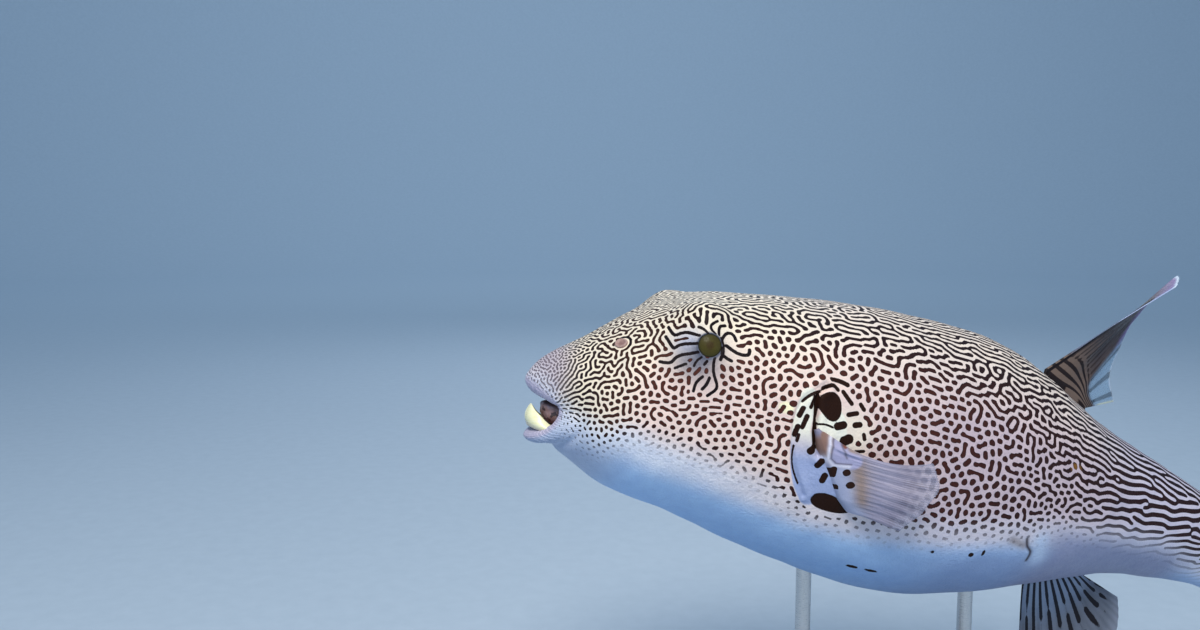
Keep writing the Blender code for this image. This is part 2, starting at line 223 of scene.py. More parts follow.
# ---- Growing the markings ----
MOST_SPREAD = 230  # keeps the steps of spread_out from becoming too short
NEAR_TIME, FAR_TIME = 0.0153, 0.0239
GROWTH_GAIN, GROWTH_ROUNDS, GROWTH_SEED = 5, 40, 7
SNOUT_GAIN, PIN_FORCE = 2.6, 3


def tangent_weights(scale, pulls):
    """Weights (a, b, c) of the second differences of a spread over the skin.

    The spread reaches a length of scale, and more along the directions in pulls,
    which holds pairs of (direction, amount).
    """
    p, q = slopes(SKIN)
    pp, pq, qq = (p * p).sum(-1), (p * q).sum(-1), (q * q).sum(-1)
    det = pp * qq - pq**2 + 1e-16
    ip, iq, ic = qq / det, pp / det, -pq / det
    a, b, c = ip.copy(), iq.copy(), ic.copy()
    for direction, amount in pulls:
        pa, qa = (p * direction).sum(-1), (q * direction).sum(-1)
        ap, aq = ip * pa + ic * qa, ic * pa + iq * qa
        share = amount / np.maximum(ap * pa + aq * qa, 1e-12)
        a, b, c = a + share * ap**2, b + share * aq**2, c + share * ap * aq
    a, b, c = (scale**2 * v for v in (a, b, c))
    a, b = np.minimum(a, MOST_SPREAD), np.minimum(b, MOST_SPREAD)
    c = np.sign(c) * np.minimum(np.abs(c), 0.9 * np.sqrt(a * b))
    return [v.astype(np.float32) for v in (a, b, c)]


def spread_out(field, weights, time_left):
    """The field after it has spread over the skin for a while, in steps short enough to be stable."""
    a, b, c = weights
    steps = max(1, int(math.ceil(time_left * 2.2 * float((a + b).max()))))
    dt = np.float32(time_left / steps)
    a, b, c = a * dt, b * dt, c * dt / 2
    rest = 1 - 2 * a - 2 * b
    wide = np.empty((field.shape[0] + 2, field.shape[1] + 2), np.float32)
    inner = wide[1:-1, 1:-1]
    inner[:] = field
    for _ in range(steps):
        wide[:, 0], wide[:, -1] = wide[:, -2], wide[:, 1]
        wide[0], wide[-1] = wide[1], wide[-2]
        new = rest * inner
        new += a * (wide[2:, 1:-1] + wide[:-2, 1:-1])
        new += b * (wide[1:-1, 2:] + wide[1:-1, :-2])
        new += c * (wide[2:, 2:] - wide[2:, :-2] - wide[:-2, 2:] + wide[:-2, :-2])
        inner[:] = new
    return inner.copy()


def grow(near_weights, far_weights, bias, force):
    """How much the nearer spread outweighs the further one, after noise has grown into marks.

    Dark marks grow where it does.  Force pins some marks down, and lines come to run the
    way in which only the nearer spread is pulled out.
    """
    field = np.random.default_rng(GROWTH_SEED).standard_normal(bias.shape).astype(np.float32)
    for _ in range(GROWTH_ROUNDS):
        near = spread_out(field, near_weights, NEAR_TIME)
        far = spread_out(near, far_weights, FAR_TIME)
        field = np.clip(GROWTH_GAIN * (near - far) + bias + force, -1, 1)
    return near - far


# Named marks on a flank, all in mm: a half width, and then the x and z of one place after
# another; or a path of (x, z) places.  Most places were picked by eye in the photo and turned
# into places on the body by a helper program.
EYE_LINES = (
    (0.95, 57.5, 58, 60.3, 55, 64, 57.4, 70.5, 58.2),
    (0.95, 56.5, 53, 58.8, 50, 60.7, 48.6, 63.5, 51.2, 70.5, 53.6),
    (0.95, 55, 40, 60, 41.3, 63, 45.2, 71.5, 49.2), (0.8, 62.2, 39, 67, 42.4),
    (0.7, 73.6, 47, 71.8, 45, 71, 42.4), (0.8, 76.8, 45.6, 75.8, 44.2),
    (0.85, 80.6, 48.4, 80.8, 42, 83.6, 36, 83, 32.6, 80.2, 29.4),
    (0.95, 83.2, 54.6, 84.4, 51.2, 88.8, 49.4), (1, 86, 56.4, 91, 54, 96.4, 54.2, 97.5, 57),
    (0.9, 83.6, 48.4, 84.6, 52, 84.2, 56, 82.6, 59.6), (0.95, 83, 57.6, 84.6, 62, 88, 62.8, 90.2, 60),
    (0.9, 81.2, 61.3, 81, 64.9, 84, 66.1), (0.8, 79, 61.3, 76, 64.3, 79.4, 67.5),
    (0.8, 75, 60.2, 72.6, 62, 70, 62.2), (0.85, 76, 38.2, 73.6, 34.6, 73, 30),
    (0.9, 79.4, 38.4, 78.6, 35, 77, 32),
)
FLAP_EDGE = ((139.2, 49.5), (128.6, 37.9), (127.2, 24.4), (129.7, 13), (133.2, 3.2), (142.7, -10.3))
GILL_SLIT = ((140, 47.5), (135.6, 41), (137.4, 31), (138.1, 23), (143.1, 12.8))
# These lie partly on the skin and partly on the foot of the pectoral fin.
FIN_FOOT_SPOTS = (
    (1.5, 153.4, 9.6, 154.2, 6.4), (2, 157.4, 0.4, 157.8, -0.4), (1.5, 159, 9.2, 159.5, 8.6),
    (1.6, 163, 3.2, 163.4, 2.8),
)
GILL_MARKS = (
    (1.2, 135.8, 43.5, 136.4, 33.5, 137.8, 25, 139.5, 18), (2, 139.8, 15.8, 138.6, 14),
    (0.8, 128.6, 38, 132.5, 42.5, 137, 45), (1.1, 138, 46.8, 142.4, 49, 146, 47.6),
    (1.2, 149, 47.3, 152, 44.6, 154.6, 42.4), (1.3, 141.8, 52, 146, 52.2, 151, 51.2),
    (1.1, 134.3, 41.6, 133.2, 36), (1.3, 132.4, 31, 131.3, 25), (0.9, 130.5, 20.8, 130.4, 17.5),
    (0.6, 129.7, 14.5, 130.4, 9, 133.2, 2, 138, -4.8), (1.3, 129.6, 34.6, 128.5, 30.4),
    (1.3, 129.1, 24.9, 128.4, 20.2), (0.6, 138.5, 28.2, 142, 29, 147, 28.4),
    (2.1, 149.2, 29.4, 152.4, 30.8), (2.7, 154.6, 22.8, 156.8, 24.2), (1.3, 153.9, 36.5, 158.3, 38.2),
    (1.6, 158.6, 32, 161, 32.8), (1.1, 164.3, 28.2, 165.2, 26), (0.9, 162, 18.6, 166.4, 19.8),
    (1.2, 159.6, 43, 161.8, 40.8), (1.8, 145.5, 10.2, 144.3, 7.6), (1.7, 149.6, 3.2, 149.2, 0.2),
) + FIN_FOOT_SPOTS
FIN_FOOT_LINE = (0.3, 168.5, -14, 177, -17, 184, -17.5)
BLACK_SPOTS = (((143.4, 38.8), (6.8, 6.9), 0.3), ((157.7, -11.4), (10.8, 4.9), -0.2))
CLEAR_BANDS = (
    (4.6, 131.5, 41, 131, 32, 131.5, 20, 134.5, 8, 139, -2.5, 146, -11), (9.5, 142, 16, 146, 5, 154, -3),
    (8, 146, 30, 152, 14, 160, 3),
)
FLANK_CREASE = ((277.6, -9.5), (280.2, -14), (283.8, -17), (284.6, -22.5))
# x, z and half sizes, on the left flank only
BELLY_FLECKS = (
    (188.7, -46.9, 3.6, 1), (199.4, -46.6, 3.8, 0.9), (224.1, -26.7, 1, 1),
    (246.9, -24.1, 1.7, 1.4), (253.8, -21.8, 1, 2),
)
CREASE_BLOTCH, CREASE_DARK_PATCH = ((287, -10), (291, -20)), ((268, -11.5), (277, -13.5))
MARK_EDGE, MARK_LIMIT = 0.0007, 1.5
OFF_FLANK = 9  # a gap too wide for any mark, where one is to be left out


def near_path(side, path, reach=0.012):
    """Distance in metres of the skin's points from a path over one flank, or 10 reaches when far off."""
    places = np.reshape(path, (-1, 2)) / 1000
    route = smooth_path(places, 10 * len(places))
    low, high = route.min(axis=0) - 2 * reach, route.max(axis=0) + 2 * reach
    here = (X > low[0]) & (X < high[0]) & (Z > low[1]) & (Z < high[1]) & (Y * side > 0.005) & OUTSIDE
    points = SKIN[here]
    flat = points[:, [0, 2]]
    nearest = [np.argmin(((flat - place) ** 2).sum(axis=1)) for place in route]
    ends = np.stack([route[:, 0], points[nearest, 1], route[:, 1]], axis=1)
    gaps = np.sqrt(((points[:, None] - ends[None]) ** 2).sum(axis=-1)).min(axis=1)
    far = np.full(X.shape, 10 * reach)
    far[here] = gaps
    return far


def along_rings(values):
    """Values at body places x in mm, as one number for each skin point."""
    places, numbers = zip(*values)
    return np.interp(X * 1000, places, numbers)


SKIN = body_rings(CURVE, ALONG, ANGLES)
X, Y, Z = np.moveaxis(SKIN, -1, 0)
SKIN_ALONG = np.broadcast_to(ALONG[:, None], X.shape)
OUTSIDE = SKIN_ALONG > KNOTS[4]
SIDES = (-1, 1)


def marking_plan():
    """Where the markings are fine or coarse, dots or lines, and which way the lines run."""
    top, mid, bottom = (CURVE(ALONG)[:, [k]] for k in (2, 3, 4))
    rise = np.where(Z > mid, (Z - mid) / (top - mid), (Z - mid) / (mid - bottom))
    fine_top = along_rings((
        (0, 1.9), (12, 2.1), (22, 2.8), (30, 3.3), (50, 3.6), (80, 3.8), (120, 4.3), (160, 4.7), (220, 4.8),
        (270, 4.6), (320, 4.4), (370, 4.8), (460, 4.6),
    ))
    coarse_side = along_rings((
        (0, 1.9), (12, 2.1), (22, 2.7), (30, 3.1), (50, 3.6), (80, 4), (110, 4.2), (135, 4.6), (160, 4.8),
        (220, 4.9), (255, 4.8), (290, 4.5), (320, 4.5), (370, 5), (460, 5.2),
    ))
    size = mix(coarse_side, fine_top, ramp(rise, 0.45, 0.95)) / 1000
    size *= 1 - 0.1 * bump(np.hypot((X - 0.294) / 0.03, (Z - 0.004) / 0.022), 0, 1)
    lines = along_rings((
        (0, -0.46), (13, -0.42), (28, -0.12), (60, -0.14), (110, -0.14), (170, -0.12), (260, -0.04),
        (330, 0.05),
    ))
    dots = along_rings((
        (0, -0.48), (14, -0.44), (24, -0.28), (38, -0.38), (70, -0.5), (250, -0.5),
        (292, -0.44), (325, -0.14), (380, 0),
    ))
    change = along_rings((
        (0, 0), (30, 0.25), (50, 0.42), (80, 0.5), (110, 0.52), (200, 0.46), (260, 0.3), (330, 0),
    ))
    lean = mix(dots, lines, ramp(rise, change, change + 0.35))
    edge = along_rings((
        (0, 0), (20, -4), (37, -9), (64, -15), (90, -17), (118, -21), (147, -25), (174, -25), (203, -24),
        (231, -21), (260, -15), (294, -11), (335, -11), (388, -14), (430, -19), (462, -24),
    ))
    above = Z * 1000 - edge
    stalk_side = ramp(X, 0.27, 0.3) * ramp(X, 0.43, 0.39)
    lean = lean - (0.38 + 0.25 * stalk_side) * ramp(above, 16 + 12 * stalk_side, -4)
    tailward = np.ones_like(SKIN) * (1, 0, 0)
    corner = SKIN - np.stack([0 * X + 0.012, np.sign(Y) * 0.018, 0 * X + 0.002], -1)
    eye = SKIN - (EYE_AT + 0.0097 * EYE_AXIS) * np.stack([1 + 0 * X, np.sign(Y + 1e-9), 1 + 0 * X], -1)
    pulls = (
        (tailward, 0.52 * ramp(X, 0.27, 0.35) + 0.2 * ramp(rise, 0.5, 0.9) * ramp(X, 0.12, 0.24)),
        (corner, 0.35 * ramp(length(corner), 0.034, 0.01)),
        (eye, 0.5 * ramp(length(eye), 0.022, 0.012)),
    )
    return size, lean, above, rise, pulls


def named_marks():
    """How far inside the named marks each point of the skin lies, as (dark, cleared, band).

    Each runs from -1, well outside, over 0 at the edge to 1.
    """
    dark, clear, band = (np.full(X.shape, -1.0) for _ in range(3))

    def lay(level, gap, half):
        np.maximum(level, np.clip((half - gap) / MARK_EDGE, -1, 1), out=level)

    for side in SIDES:
        elsewhere = (Y * side <= 0) | ~OUTSIDE
        for half, *path in CLEAR_BANDS:
            lay(band, near_path(side, path), half / 1000)
        for (cx, cz), (rx, rz), turn in BLACK_SPOTS:
            u, v = (X * 1000 - cx) / rx, (Z * 1000 - cz) / rz
            angle = np.arctan2(v, u)
            rim = np.hypot(u, v) * (1 + 0.1 * np.sin(2 * angle + turn) + 0.07 * np.sin(3 * angle + 5 * turn))
            gap = (rim - 1 + OFF_FLANK * elsewhere) * min(rx, rz) / 1000
            lay(dark, gap, 0)
            lay(clear, gap, 0.002)
        for halo, marks in ((1.6, GILL_MARKS), (0.9, EYE_LINES)):
            for half, *path in marks:
                gap = near_path(side, path, 0.004)
                lay(dark, gap, half / 1000)
                lay(clear, gap, (half + halo) / 1000)
        gap = length(SKIN - NOSTRIL_AT * (1, side, 1))
        lay(clear, gap, 0.0044)
        lay(dark, np.abs(gap - 0.0049) + OFF_FLANK * (Z < 0.0425), 0.0007)
    for cx, cz, long, high in BELLY_FLECKS:
        gap = np.hypot((X * 1000 - cx) / long, (Z * 1000 - cz) / high) - 1
        lay(dark, np.where(Y < 0, gap, OFF_FLANK) / 1000, 0)
    return dark, np.maximum(clear, band), band


# ---- The skin's folds ----
NORMALS = normals_of(SKIN)
LID_THICK, LID_BLEND, LID_REACH = 0.0005, 0.0004, 0.02


def eye_place(side):
    """Centre and axis of one eyeball."""
    return EYE_AT * (1, side, 1), unit(EYE_AXIS * (1, side, 1))


def segment_gap(points, start, end):
    """Distance of points from a straight segment."""
    start, end = np.array(start), np.array(end)
    run = end - start
    share = np.clip((points - start) @ run / (run @ run), 0, 1)
    return length(points - start - share[..., None] * run)


UPPER_LIP_DROOP = np.array((-0.0004, 0, -0.0022))
LOWER_LIP_DROOP = np.array((-0.0016, 0, -0.0024))
FIN_MUSCLE = ((146, 22), (152, 8), (162, -6))
# start, end, height and reach of the swellings at the feet of three fins and of the vent's dip
MIDLINE_SWELLINGS = (
    ((0.308, 0, 0.083), (0.342, 0, 0.0655), 0.0016, 0.006),
    ((0.331, 0, -0.0455), (0.368, 0, -0.036), 0.0028, 0.0085),
    ((0.462, 0, 0.026), (0.462, 0, -0.028), 0.0006, 0.007),
    ((0.3, 0, -0.052), (0.316, 0, -0.05), -0.0022, 0.0016),
)


def folded():
    """The skin with its folds: gill, fin feet, flank crease, vent, lips and a slight unevenness."""
    rise = np.zeros(X.shape)
    for side in SIDES:
        edge = near_path(side, FLAP_EDGE)
        rise -= 0.001 * bump(edge, 0, 0.0011)
        rise += 0.0007 * bump(edge, 0.0026, 0.0018)
        slit = near_path(side, GILL_SLIT)
        rise += 0.0011 * bump(slit, 0.0032, 0.0022)
        rise -= 0.003 * bump(slit, 0, 0.0009)
        rise -= 0.0006 * bump(near_path(side, FLANK_CREASE), 0, 0.0013)
        rise += 0.002 * bump(near_path(side, FIN_MUSCLE, 0.02), 0, 0.0085)
    for start, end, height, reach in MIDLINE_SWELLINGS:
        rise += height * bump(segment_gap(SKIN, start, end), 0, reach)
    angle = np.broadcast_to(ANGLES[None], X.shape)
    lips = ramp(SKIN_ALONG, KNOTS[3], KNOTS[4]) * ramp(SKIN_ALONG, KNOTS[7], KNOTS[5])
    rise += 0.00016 * lips * np.sin(46 * angle + 3 * np.sin(5 * angle)) * (0.6 + 0.4 * np.sin(7 * angle))
    groove = bump(SKIN_ALONG, KNOTS[6] + 0.001, 0.0016)
    rise -= 0.0007 * groove * bump(np.abs(angle - math.pi / 2), math.pi / 2 + 0.1, 0.35)
    sway = np.sin(90 * X + 40 * Z) * np.sin(70 * Z - 55 * Y) + 0.6 * np.sin(210 * X - 150 * Z + 60 * Y)
    rise += 0.00022 * sway * ramp(SKIN_ALONG, KNOTS[6], KNOTS[8])
    upper = ramp(np.sin(angle), 0.05, 0.6) * bump(SKIN_ALONG, KNOTS[4] - 0.0005, 0.0075)
    lower = ramp(-np.sin(angle), 0.05, 0.6) * bump(SKIN_ALONG, KNOTS[4] + 0.001, 0.0075)
    droop = upper[..., None] * UPPER_LIP_DROOP + lower[..., None] * LOWER_LIP_DROOP
    under = ramp(-np.sin(angle), -0.15, 0.35)
    rise += under * (0.0012 * bump(SKIN_ALONG, 0.052, 0.0055) - 0.0015 * bump(SKIN_ALONG, 0.064, 0.0036))
    grains = np.sin(62 * angle + 2100 * SKIN_ALONG) * np.sin(58 * angle - 1900 * SKIN_ALONG)
    rise += 0.00022 * grains * ramp(SKIN_ALONG, KNOTS[3], KNOTS[4]) * ramp(SKIN_ALONG, 0.066, 0.06)
    return SKIN + rise[..., None] * NORMALS + droop


def with_open_eye(skin, side):
    """The skin drawn round one eye: lids lie on the ball, and inside the opening the skin dips under it."""
    centre, axis = eye_place(side)
    off = skin - centre
    height = off @ axis
    flat = off - height[..., None] * axis
    r = length(flat)
    here = (r < LID_REACH) & (height > 0)
    flat, r, height, normal = flat[here] / r[here][:, None], r[here], height[here], NORMALS[here]
    tilt = (flat * normal).sum(-1) / (normal @ axis)
    slide = (EYE_OPENING - r) * 0.55 * bump(r, EYE_OPENING, 0.003)
    r, height = r + slide, height - slide * tilt
    ball = np.sqrt(np.maximum(EYE_RADIUS**2 - r**2, 0))
    cover = ball + LID_THICK
    height = np.logaddexp(height / LID_BLEND, cover / LID_BLEND) * LID_BLEND
    height += 0.0004 * bump(r, EYE_OPENING + 0.0013, 0.0011)
    height = mix(height, ball - 0.0012, ramp(r, EYE_OPENING + 0.0001, EYE_OPENING - 0.0009))
    out = skin.copy()
    out[here] = centre + height[:, None] * axis + r[:, None] * flat
    return out


# ---- Shapes of the fins ----
# In mm, and as on the right side.  Where the dorsal, anal and pectoral fins start and end
# was guided by points read off the photo.
FINS = {
    "dorsal_fin": dict(
        base=((308, 0, 83), (342, 0, 65.5)),
        tips=(
            (382, 0, 153), (391, 9, 161.5), (390, 15, 156), (379.5, 20, 137),
            (369, 16, 115), (359.5, 8, 89), (363.5, 3, 73.5),
        ),
        root=(0, 0, -10), bow=(0, 0, 0), thick=(5.2, 0.8), rays=11,
    ),
    "anal_fin": dict(
        base=((331, 0, -45.5), (368, 0, -36)),
        tips=(
            (353, 0, -127), (364, -3, -135), (377, -6, -132), (391, -8, -113),
            (400, -7, -88), (404, -4, -64), (401, -1, -47),
        ),
        root=(0, 0, 10), bow=(-2, 0, 0), thick=(5.2, 0.8), rays=10,
    ),
    "caudal_fin": dict(
        base=((460, 0, 26.5), (460, 0, -28.5)),
        tips=(
            (537, 1, 40.5), (553, 4, 42.5), (567, 6, 35), (575, 8, 18),
            (578, 9, -2), (574, 8, -22.5), (565, 6, -39.5), (551, 4, -46.5),
            (535, 1, -44),
        ),
        root=(-12, 0, 0), bow=(0, 0, 1), thick=(6.6, 0.9), rays=10,
    ),
    "pectoral_fin": dict(
        base=((139.5, 72.5, 26.5), (169.5, 71.2, -13)),
        tips=(
            (195, 93, 23.8), (198.5, 96.5, 18), (198.5, 98.5, 9.5), (195, 98, 1),
            (191.5, 94.5, -7), (189, 88.5, -14.5),
        ),
        root=(0, -12, 0), bow=(2, 0, -7), thick=(9.5, 0.8), rays=17, fold=1.6,
    ),
}
OUT_STEPS = np.linspace(0, 1, 110) ** 1.4
RAY_SAMPLES = 14


def fin_shape(base, tips, root, bow, thick, rays, fold=0, side=1):
    """Points of both faces of a fin as (2, steps, across, 3), with its rays and how far out each point is."""
    base, tips, root, bow, thick = (np.array(sizes) / 1000 for sizes in (base, tips, root, bow, thick))
    across = np.linspace(0, 1, rays * RAY_SAMPLES + 1)
    foot = mix(*base, across[:, None])
    tip = smooth_path(tips, len(across))
    out = OUT_STEPS[:, None, None]
    curl = 4 * out * (1 - out) * (1 - across[None, :, None]) ** 3 * bow
    sheet = np.concatenate([(foot + root)[None], foot + out * (tip - foot) + curl])
    across, out = across[None], np.concatenate([[0], OUT_STEPS])[:, None]
    phase = across * rays - 0.5
    single = np.exp(-(((phase - np.round(phase)) / 0.2) ** 2))
    twin = np.exp(-(((2 * phase + 0.5 - np.round(2 * phase + 0.5)) / 0.26) ** 2))
    ray = mix(single, 0.85 * twin, ramp(out, 0.35, 0.75))
    notch = 1 - (0.008 * (1 - ray[-1]) + 0.02 * np.sin(9 * across[0]) ** 2)
    reach = mix(1, notch[None], out**6)
    sheet = foot[None] + (sheet - foot[None]) * reach[..., None]
    sheet[..., 1] *= side
    normal = unit(np.cross(np.gradient(sheet, axis=0), np.gradient(sheet, axis=1)))
    sway = 0.0006 * out * np.sin(2 * math.pi * (2.2 * across + 0.7 * out))
    sway = sway + 0.0003 * out * np.sin(rays * 3 * across)
    sheet = sheet + sway[..., None] * normal
    lift = fold / 1000 * bump(across, 0.1, 0.05) * bump(out, 0.24, 0.14)
    sheet = sheet + (lift * np.sign(normal[..., 1] * side))[..., None] * normal
    fringe = np.minimum(1, 0.35 + 4 * across * (1 - across))
    half = thick[1] / 2 * (0.6 + 0.7 * ray * mix(1, 0.35, out) * ramp(out, 0.15, 0.4))
    half = half + (thick[0] - thick[1]) / 2 * np.exp(-((out / 0.26) ** 2)) * fringe
    edge = np.minimum(1, np.minimum(across, 1 - across) * rays * 3 + 0.35) * mix(1, 0.45, ramp(out, 0.97, 1))
    faces = np.stack([sheet + turn * (half * edge)[..., None] * normal for turn in (1, -1)])
    return faces, ray, out + 0 * across, across + 0 * out


# ---- Blender pieces ----
POSE = Matrix.Translation(SNOUT_AT) @ Matrix.Rotation(NOSE_UP, 4, "Y")
TURN, SHIFT = np.array(POSE)[:3, :3], np.array(POSE)[:3, 3]


def in_world(points):
    return np.asarray(points) @ TURN.T + SHIFT


def mesh_of(name, points, quads, uvs=None, attributes=None):
    """A mesh from arrays: points, faces as index rows, one uv for each face corner, and point attributes."""
    mesh = bpy.data.meshes.new(name)
    quads = [np.asarray(q, np.int32) for q in quads]
    sizes = np.concatenate([np.full(len(q), q.shape[1], np.int32) for q in quads])
    corners = np.concatenate([q.ravel() for q in quads])
    mesh.vertices.add(len(points))
    mesh.vertices.foreach_set("co", np.asarray(points, np.float32).ravel())
    mesh.loops.add(len(corners))
    mesh.loops.foreach_set("vertex_index", corners)
    mesh.polygons.add(len(sizes))
    mesh.polygons.foreach_set("loop_start", np.concatenate([[0], np.cumsum(sizes)[:-1]]).astype(np.int32))
    mesh.update(calc_edges=True)
    if uvs is not None:
        layer = mesh.uv_layers.new(name="OFBake")
        layer.data.foreach_set("uv", np.asarray(uvs, np.float32).ravel())
    for key, values in (attributes or {}).items():
        values = np.asarray(values, np.float32)
        if values.ndim == 1:
            mesh.attributes.new(key, "FLOAT", "POINT").data.foreach_set("value", values)
        else:
            rgba = np.concatenate([values, np.ones((len(values), 1), np.float32)], axis=1)
            mesh.attributes.new(key, "FLOAT_COLOR", "POINT").data.foreach_set("color", rgba.ravel())
    mesh.validate()
    mesh.shade_smooth()
    return mesh


def placed(name, data):
    """A new object in the scene."""
    obj = bpy.data.objects.new(name, data)
    bpy.context.scene.collection.objects.link(obj)
    return obj


def piece(name, mesh, material, replaced):
    obj = placed(name, mesh)
    mesh.materials.append(material)
    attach(obj, "root")
    if replaced:
        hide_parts(*replaced)


UV_MARGIN = 0.005


def ring_faces(rings, around):
    """Faces of a grid that closes round its second side."""
    start, k = np.arange(rings - 1)[:, None] * around, np.arange(around)
    after = (k + 1) % around
    corners = start + k, start + after, start + around + after, start + around + k
    return np.stack(corners, -1).reshape(-1, 4)


def capped_tube(name, grid, ends, attributes, levels=None):
    """A closed solid from rings of points and one end point past the first and the last of them.

    levels are the rings' places along the unwrap; the attributes hold a value for each ring point.
    """
    rings, around = grid.shape[:2]
    if levels is None:
        levels = np.linspace(0, 1, rings + 2)[1:-1]
    n, k = rings * around, np.arange(around)
    after = (k + 1) % around
    first = np.stack([0 * k + n, after, k], 1)
    last = np.stack([0 * k + n + 1, n - around + k, n - around + after], 1)
    side_u = np.stack([k, k + 1, k + 1, k], 1) / around
    side_v = np.stack([levels[:-1], levels[:-1], levels[1:], levels[1:]], 1)[:, None]
    cap_u = np.stack([k + 0.5, k + 1, k], 1) / around
    uvs = [
        np.stack(np.broadcast_arrays(u, v), -1).reshape(-1, 2)
        for u, v in (
            (side_u, side_v),
            (cap_u, np.array((0, levels[0], levels[0]))),
            (cap_u[:, [0, 2, 1]], np.array((1, levels[-1], levels[-1]))),
        )
    ]
    values = {}
    for key, value in attributes.items():
        value = value.reshape(rings, around, -1)
        values[key] = np.concatenate([value.reshape(n, -1), value[[0, -1], 0]]).squeeze()
    points = in_world(np.concatenate([grid.reshape(-1, 3), ends]))
    faces = [ring_faces(rings, around), first, last]
    return mesh_of(name, points, faces, np.concatenate(uvs) * (1 - 2 * UV_MARGIN) + UV_MARGIN, values)


def turned(name, profile, around, origin, axis, out, squeeze=None):
    """A closed solid turned from (radius, height) places about an axis; the first and last lie on it."""
    profile = np.array(profile, float)
    angle = np.arange(around) * 2 * math.pi / around
    one = unit(np.cross(axis, (0, 0.1, 1)))
    rim = np.cos(angle)[:, None] * one + np.sin(angle)[:, None] * np.cross(axis, one)
    radius, height = (np.repeat(profile[1:-1, [k]], around, 1) for k in (0, 1))
    if squeeze:
        radius, height = squeeze(radius, height, angle)
    grid = origin + radius[..., None] * rim + height[..., None] * axis
    poles = origin + profile[[0, -1], 1][:, None] * axis
    return outward(capped_tube(name, grid, poles, {"out": np.repeat(out[1:-1, None], around, 1)}))


def fin_mesh(name, faces, attributes):
    """A closed thin solid from the two faces of a fin."""
    rows, count = faces.shape[1:3]
    grid = np.arange(rows * count).reshape(rows, count)
    front = np.stack([grid[:-1, :-1], grid[:-1, 1:], grid[1:, 1:], grid[1:, :-1]], -1).reshape(-1, 4)
    back = front[:, ::-1] + rows * count
    rim = np.concatenate([grid[:-1, 0], grid[-1, :-1], grid[:0:-1, -1], grid[0, :0:-1]])
    after = np.roll(rim, -1)
    wall = np.stack([rim, after, after + rows * count, rim + rows * count], 1)
    place = np.stack([grid % count / (count - 1), grid // count / (rows - 1)], -1).reshape(-1, 2)
    face_uvs = place[front] * (0.48, 0.94)
    run = np.linspace(0, 1, len(rim) + 1)
    wall_u = np.stack([run[:-1], run[1:], run[1:], run[:-1]], 1)
    wall_uvs = np.stack(np.broadcast_arrays(wall_u, np.array((0, 0, 1, 1))), -1)
    uvs = np.concatenate([
        face_uvs + 0.005, face_uvs[:, ::-1] + (0.505, 0.005), wall_uvs * (0.98, 0.03) + (0.005, 0.96),
    ])
    both = {key: np.concatenate([v.reshape(rows * count, -1)] * 2).squeeze() for key, v in attributes.items()}
    return outward(mesh_of(name, in_world(faces.reshape(-1, 3)), [front, back, wall], uvs, both))


def outward(mesh):
    """Turns the faces of a closed mesh to point out."""
    bm = bmesh.new()
    bm.from_mesh(mesh)
    bmesh.ops.recalc_face_normals(bm, faces=bm.faces)
    bm.to_mesh(mesh)
    bm.free()
    return mesh


# ---- Materials ----
class Nodes:
    """A short way to write a material's node tree."""

    def __init__(self, name):
        self.material = bpy.data.materials.new(name)
        self.material.use_nodes = True
        self.tree = self.material.node_tree
        self.shader = self.tree.nodes["Principled BSDF"]

    def add(self, kind, inputs=None, **settings):
        """A new shader node with its settings, and its inputs by name or number."""
        node = self.tree.nodes.new("ShaderNode" + kind)
        for key, value in settings.items():
            setattr(node, key, value)
        for key, value in (inputs or {}).items():
            self.put(node.inputs[key], value)
        return node

    def put(self, socket, value):
        if isinstance(value, bpy.types.NodeSocket):
            self.tree.links.new(value, socket)
        else:
            socket.default_value = value

    def attribute(self, name, output="Fac"):
        return self.add("Attribute", attribute_name=name).outputs[output]

    def place(self):
        return self.add("TexCoord").outputs["Object"]

    def stretched(self, scale):
        return self.add("Mapping", {"Vector": self.place(), "Scale": scale}).outputs[0]

    def noise(self, scale, detail=3.0, rough=0.55, vector=None):
        inputs = {"Vector": vector or self.place(), "Scale": scale, "Detail": detail, "Roughness": rough}
        return self.add("TexNoise", inputs).outputs["Fac"]

    def cells(self, scale):
        return self.add("TexVoronoi", {"Vector": self.place(), "Scale": scale}).outputs["Distance"]

    def remap(self, value, start, end, low=0.0, high=1.0, smooth=False):
        inputs = dict(enumerate((value, start, end, low, high)))
        kind = "SMOOTHSTEP" if smooth else "LINEAR"
        return self.add("MapRange", inputs, interpolation_type=kind).outputs[0]

    def math(self, kind, a, b):
        return self.add("Math", {0: a, 1: b}, operation=kind).outputs[0]

    def blend(self, factor, a, b, kind="MIX"):
        a, b = ((*colour, 1) if isinstance(colour, tuple) else colour for colour in (a, b))
        return self.add("Mix", {0: factor, 6: a, 7: b}, data_type="RGBA", blend_type=kind).outputs[2]

    def finish(self, body, layers, bumps, rough=None, **inputs):
        """The material: a body colour with layers over it, bumps, roughness and other shader inputs.

        A layer is a colour with its share, or with what remap takes to make that share.
        Bumps are (height, depth in metres), and rough is (pattern, lowest, highest).
        """
        for colour, *share in layers:
            body = self.blend(self.remap(*share) if share[1:] else share[0], body, colour)
        last = None
        for height, depth in bumps:
            node = self.add("Bump", {"Height": height, "Distance": depth, "Strength": 1})
            if last:
                self.put(node.inputs["Normal"], last)
            last = node.outputs[0]
        if rough:
            inputs["Roughness"] = self.remap(rough[0], 0.3, 0.7, *rough[1:])
        for key, value in {"Base_Color": body, "Normal": last, **inputs}.items():
            self.put(self.shader.inputs[key.replace("_", " ")], value)
        return self.material


